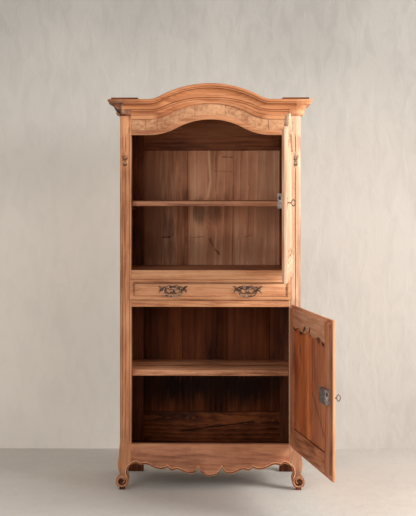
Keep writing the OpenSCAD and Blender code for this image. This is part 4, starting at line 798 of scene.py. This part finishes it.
# Dark discs paint the shade in the snails' sunk eyes.
eye_shade = bmesh.new()
for side, name in ((-1, "left"), (1, "right")):
    line = [(side * (SCROLL_X + r * math.cos(a)), FRONT - 0.0050, SCROLL_Z + r * math.sin(a))
            for a, r in turns]
    carved(f"snail_{name}", [(line, (0.0046, 0.0036, 0.0030))], snail_wood, f"front_stile_{name}")
    place = Matrix.Translation((side * SCROLL_X, FRONT - 0.0040, SCROLL_Z))
    bmesh.ops.create_cone(eye_shade, cap_ends=True, segments=32, radius1=0.0235, radius2=0.0235,
                          depth=0.0010, matrix=place @ Matrix.Rotation(math.radians(90), 4, "X"))
mesh_piece("snail_eye_shadows", eye_shade, shade_wood, "case")

# %% [markdown]
# Each pull is a cast plate of scrolls, with horns at its ends. The solid has its outline, and strokes
# of bronze give it the rounded, crowded look of a casting. One half is written down, in millimetres
# from the bail's pins, and used for both ends of both pulls.

# %% The pulls
for node in ("pull_plate_left", "pull_plate_right", "bail_left", "bail_right"):
    planed(node, bronze if "plate" in node else bright_bronze, 0.0004)
HALF_PULL = [
    ([(32, 11), (25, 18), (14, 18), (7, 9), (8, -8), (13, -18), (24, -21)], (1.2, 2.3, 1.2)),
    ([(35, 9), (31, 2), (24, 3), (22, 9), (27, 11)], (1.4, 2.0, 1.0)),
    ([(52, 4), (46, 12), (37, 9), (36, 0), (43, -5), (48, -1)], (2.2, 2.2, 1.0)),
    ([(57, 2), (66, 9), (76, 15)], (3.0, 2.4, 0.6)),
    ([(57, -2), (68, -8), (71, -21)], (3.0, 2.4, 0.6)),
    ([(3, 10), (2.6, -6), (3, -21)], (1.4, 1.6, 1.4)),
    ([(50, -8), (40, -15), (24, -22), (0, -24)], (1.4, 1.6, 1.8)),
    ([(0, 14), (8, 17), (17, 13)], (2.4, 1.8, 0.8)),
]
CAST_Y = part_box("drawer_front")[0][1] + 0.0003
for word in ("left", "right"):
    pull_x, _, pull_z = joints[f"bail_{word}_swing"]["pos_m"]
    strokes = [([(pull_x + hand * u / 1000, CAST_Y, pull_z + v / 1000) for u, v in points],
                [r / 1000 for r in radii]) for points, radii in HALF_PULL for hand in (-1, 1)]
    carved(f"pull_casting_{word}", strokes, bronze, f"pull_plate_{word}", 0.85)
print("pulls:", len(strokes), "strokes each")

# %% [markdown]
# The cornice is one long moulding in two members. Each member's profile runs straight, dips and
# climbs over the arch and runs straight again, so it is drawn once and then swept: extruded along the
# straight ends, and spun about the centres of the three arcs that make the arch. The real one was cut
# by hand and is taller over the crown, so its middle lines are let down there after the sweep. Each
# point of a profile carries its share of darkening as an attribute, high in the quirks: grime that
# is partly painted shade.

# %% The cornice's profile
OUT = 58
QUIRK = 24
COVE_TOP, COVE_END = 25, 50


def arc(t, p, radius, start, end, steps):
    """Points of a rounding, as (distance below the top, distance out, darkening by grime and painted shade, share
    of the drop).
    """
    angles = [math.radians(start + (end - start) * i / steps) for i in range(steps + 1)]
    return [(t + radius * math.cos(a), p + radius * math.sin(a), 0.0, 0.0) for a in angles]


high_profile = [(0, 0, 0, 0), (0, OUT - 6, 0, 0)] + arc(8, OUT - 8, 8, 160, 20, 10)
high_profile += [(16.6, OUT - 8.2, 0.8, 0), (17.8, OUT - 8.6, 0, 0), (22, OUT - 8.6, 0, 0),
                 (23.4, OUT - 10.5, 1.0, 0), (COVE_TOP, OUT - 13, 0.25, 0)]
for i in range(1, 10):
    a = math.radians(10 * i)
    high_profile.append((COVE_TOP + (COVE_END - COVE_TOP) * (1 - math.cos(a)),
                         OUT - 12 - 22 * math.sin(a), 0.0, i / 9))
high_profile.append((COVE_END, 0, 0, 1))
low_profile = [(COVE_END, 0, 0, 1), (COVE_END, QUIRK, 0, 1), (51.6, QUIRK, 0.1, 1),
               (53.2, 20, 1.0, 1), (54.2, 18.6, 0.3, 1)]
low_profile += [(t, p, 0.0, 1) for t, p, _, _ in arc(58.2, 18.4, 4.2, 165, 15, 6)]
low_profile += [(63, 16.6, 1.0, 1), (64.4, 16, 0.0, 0.95), (80, 14.6, 0, 0.4), (81.2, 12.6, 0.4, 0.4),
                (82.6, 11.6, 0, 0.4), (99, 9.6, 0, 0), (101.4, 8, 0.2, 0), (102, 0, 0.2, 0)]
print("profiles:", len(high_profile), "and", len(low_profile), "points")

# %% The cornice's front
CROWN_DROP = 0.018
CROWN_REACH = 0.30
CROWN_Z = SPRING + RISE - CROWN_R
NOSE_LOW = TOP - 0.022


def sweep(bm, profile, end_x):
    """Sweeps one member along the cornice's line, from one end to the other."""
    dust, drop = (bm.verts.layers.float[name] for name in ("dust", "drop"))
    rim = []
    for t, p, darkening, share in profile:
        rim.append(bm.verts.new((-end_x, FRONT - p / 1000, TOP - t / 1000)))
        rim[-1][dust], rim[-1][drop] = darkening, share
    edges = [bm.edges.new((rim[i - 1], rim[i])) for i in range(len(rim))]
    bm.faces.new(rim)
    for kind, hand in (("straight", 1), ("flank", -1), ("crown", 1), ("flank", 1), ("straight", 1)):
        if kind == "straight":
            corners, edges = extruded(bm, edges)
            bmesh.ops.translate(bm, vec=(end_x - ARCH_HALF, 0, 0), verts=corners)
        else:
            centre, angle, steps = (0, FRONT, CROWN_Z), 2 * TURN, 40
            if kind == "flank":
                centre, angle, steps = (hand * ARCH_HALF, FRONT, SPRING + FLANK_R), -TURN, 18
            new = bmesh.ops.spin(bm, geom=edges, cent=centre, axis=(0, 1, 0), angle=angle, steps=steps)
            edges = [g for g in new["geom_last"] if isinstance(g, bmesh.types.BMEdge)]
    bmesh.ops.edgeloop_fill(bm, edges=edges)


bm = bmesh.new()
for layer in ("dust", "drop"):
    bm.verts.layers.float.new(layer)
sweep(bm, high_profile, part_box("cornice_front")[1][0])
sweep(bm, low_profile, HALF_OPEN)
bmesh.ops.remove_doubles(bm, verts=bm.verts, dist=1e-6)
bmesh.ops.recalc_face_normals(bm, faces=bm.faces)
for vert in bm.verts:
    near = max(0.0, 1.0 - abs(vert.co.x) / CROWN_REACH)
    vert.co.z -= CROWN_DROP * vert[bm.verts.layers.float["drop"]] * near * near * (3 - 2 * near)
# left_nose_shade paints shade along the left end of the nose, further from the window; the crack is real.
left_nose_shade = level(TOP - 0.008, -0.47, -0.36, 0.020, 0.30)
crack = [((-0.04, 1.9935), (0.05, 1.9930), 0.003, 0.9), ((0.05, 1.9930), (0.13, 1.9765), 0.0025, 0.7)]
# The attribute darkens the quirks, grime that is partly painted shade, and LIT_FASCIA paints light on the fascia
# under the cove of both straight parts.
cornice_wood = wood("cornice_wood", CORNICE, "x", place=(0.3, -0.28, 1.98), ring=0.010, stain=0.15,
                    streak=0.65, dusty_and_shaded=True, marks=crack + [left_nose_shade],
                    washes=[level(1.922, side * 0.42, side * 0.28, 0.022, 0.7, LIT_FASCIA)
                            for side in (-1, 1)])
piece = mesh_piece("cornice_front_moulding", bm, cornice_wood, "case", "cornice_front", smooth=30)
# The left end faces away from the window: SHADED tones, FADED_AND_HIGHLIGHT washes that paint highlights on its
# return's edge and its corner block, and marks that paint shade down its splayed side, under its nose and at its
# foot.
shaded_left_end_wood = wood("shaded_left_end_wood", SHADED, "z", place=(-0.5, 0.0, 2.0), streak=0.5, stain=0.2,
                     washes=[((-0.524, 1.990), (-0.467, 1.935), 0.0045, 0.9, FADED_AND_HIGHLIGHT),
                             stand(-0.449, 1.946, NOSE_LOW - 0.004, 0.011, 0.35, FADED_AND_HIGHLIGHT)],
                     marks=[((-0.512, NOSE_LOW - 0.004), (-0.462, 1.940), 0.013, 1.0),
                            level(NOSE_LOW, -0.500, -0.435, 0.0045, 1.0),
                            level(1.936, -0.466, -0.432, 0.004, 0.9)])
right_end_wood = wood("right_end_wood", WARM, "z", place=(0.5, 0.0, 2.0), streak=0.5, stain=0.2)
planed("cornice_end_left", shaded_left_end_wood, 0.001)
planed("cornice_end_right", right_end_wood, 0.001)
print("cornice:", len(piece.data.polygons), "faces")

# %% [markdown]
# The room is only a pale floor and a pale wall, a little way behind. They are stage, not furniture.
# The wall stands close, so its reverse is clear, as in a stage set: from behind one looks through it
# at the cupboard's back.

# %% Floor and wall
def stage_plane(name, place, turn, colour, sideways, upwards):
    """A plane of plaster or of screed; the shade grows sideways and upwards by the given shares."""
    finish, shader, spot = new_finish(name + "_paint")
    trowel = spot.noise(1.6, 5.0)
    across, _, upright = spot.axes()
    values = {"Vector": spot, "Rotation": (0, 0.5, 0), "Scale": (1, 1, 0.4)}
    swept = spot.node("ShaderNodeMapping", values=values)
    strokes = swept.noise(13.0, 6.0, Roughness=0.6, Distortion=0.5)
    right, high = across.ramp(-0.5, 1.3), upright.ramp(1.2, 2.7)
    shade = (right * (1.0 - high) * sideways + high * (1.0 + right * 0.16) * upwards
             + trowel.ramp(0.35, 0.65) * 0.05 + strokes.ramp(0.45, 0.62) * 0.03)
    strokes.bump(0.4, 0.01).into(shader, "Normal")
    mix(shade, colour, (0.0, 0.0, 0.0, 1.0)).into(shader, "Base Color")
    shader.inputs["Roughness"].default_value = 0.9
    reverse = spot.node("ShaderNodeNewGeometry", out="Backfacing")
    clear = spot.node("ShaderNodeBsdfTransparent")
    values = {0: reverse, 1: Wire(spot.tree, shader.outputs[0]), 2: clear}
    shown = spot.node("ShaderNodeMixShader", values=values)
    shown.into(finish.node_tree.nodes["Material Output"], "Surface")
    bm = bmesh.new()
    bmesh.ops.create_grid(bm, x_segments=1, y_segments=1, size=8)
    bmesh.ops.rotate(bm, verts=bm.verts, matrix=Euler(turn).to_matrix())
    bmesh.ops.translate(bm, verts=bm.verts, vec=place)
    mesh = bpy.data.meshes.new(name)
    bm.to_mesh(mesh)
    bm.free()
    mesh.materials.append(finish)
    plane = placed(name, mesh)


stage_plane("floor", (0, 0, 0), (0, 0, 0), tint(203, 196, 187), 0.0, 0.0)
stage_plane("wall", (0, 0.85, 3), (math.radians(90), 0, 0), tint(239, 231, 220), 0.40, 0.50)

# %% [markdown]
# The light is one big soft window to the right and above, with a weak fill from the left, over an
# even world. It is bright enough that a colour renders about as it is written, and no brighter.

# %% Lamps
def soft_lamp(name, place, aim, size, power):
    """A square lamp that looks at a point."""
    lamp = bpy.data.lights.new(name, "AREA")
    lamp.shape, lamp.size, lamp.energy = "SQUARE", size, power
    holder = placed(name, lamp)
    holder.location = place
    holder.rotation_euler = (Vector(aim) - Vector(place)).to_track_quat("-Z", "Y").to_euler()


soft_lamp("window", (3.9, -2.4, 2.3), (0, 0, 1.1), 2.2, 270)
soft_lamp("fill", (-2.2, -5.0, 2.4), (0, 0, 1.0), 3.0, 80)
world = bpy.data.worlds.new("soft_room")
bpy.context.scene.world = world
world.use_nodes = True
world.node_tree.nodes["Background"].inputs[0].default_value = (1.0, 0.985, 0.96, 1)
world.node_tree.nodes["Background"].inputs[1].default_value = 0.55

# %% [markdown]
# The camera stands where the photograph's stood: level, a little to the right of the middle, seven
# metres back. Its picture is shifted down rather than tilted, which keeps the stiles parallel. The
# focal length and the row of the horizon were fitted to the photograph, in its pixels.

# %% Camera
PHOTO_WIDE, PHOTO_HIGH = 416, 516
FOCAL = 1373
HORIZON = 183.8
camera = placed("camera", bpy.data.cameras.new("camera"))
camera.data.sensor_fit, camera.data.sensor_width = "HORIZONTAL", 36.0
camera.data.lens = FOCAL / PHOTO_WIDE * 36
camera.data.shift_y = (HORIZON - PHOTO_HIGH / 2) / PHOTO_WIDE
camera.location = (0.108, FRONT - 7.087, 1.581)
camera.rotation_euler = (math.radians(90), 0, math.radians(0.963))
bpy.context.scene.camera = camera
bpy.context.scene.view_settings.view_transform = "Standard"
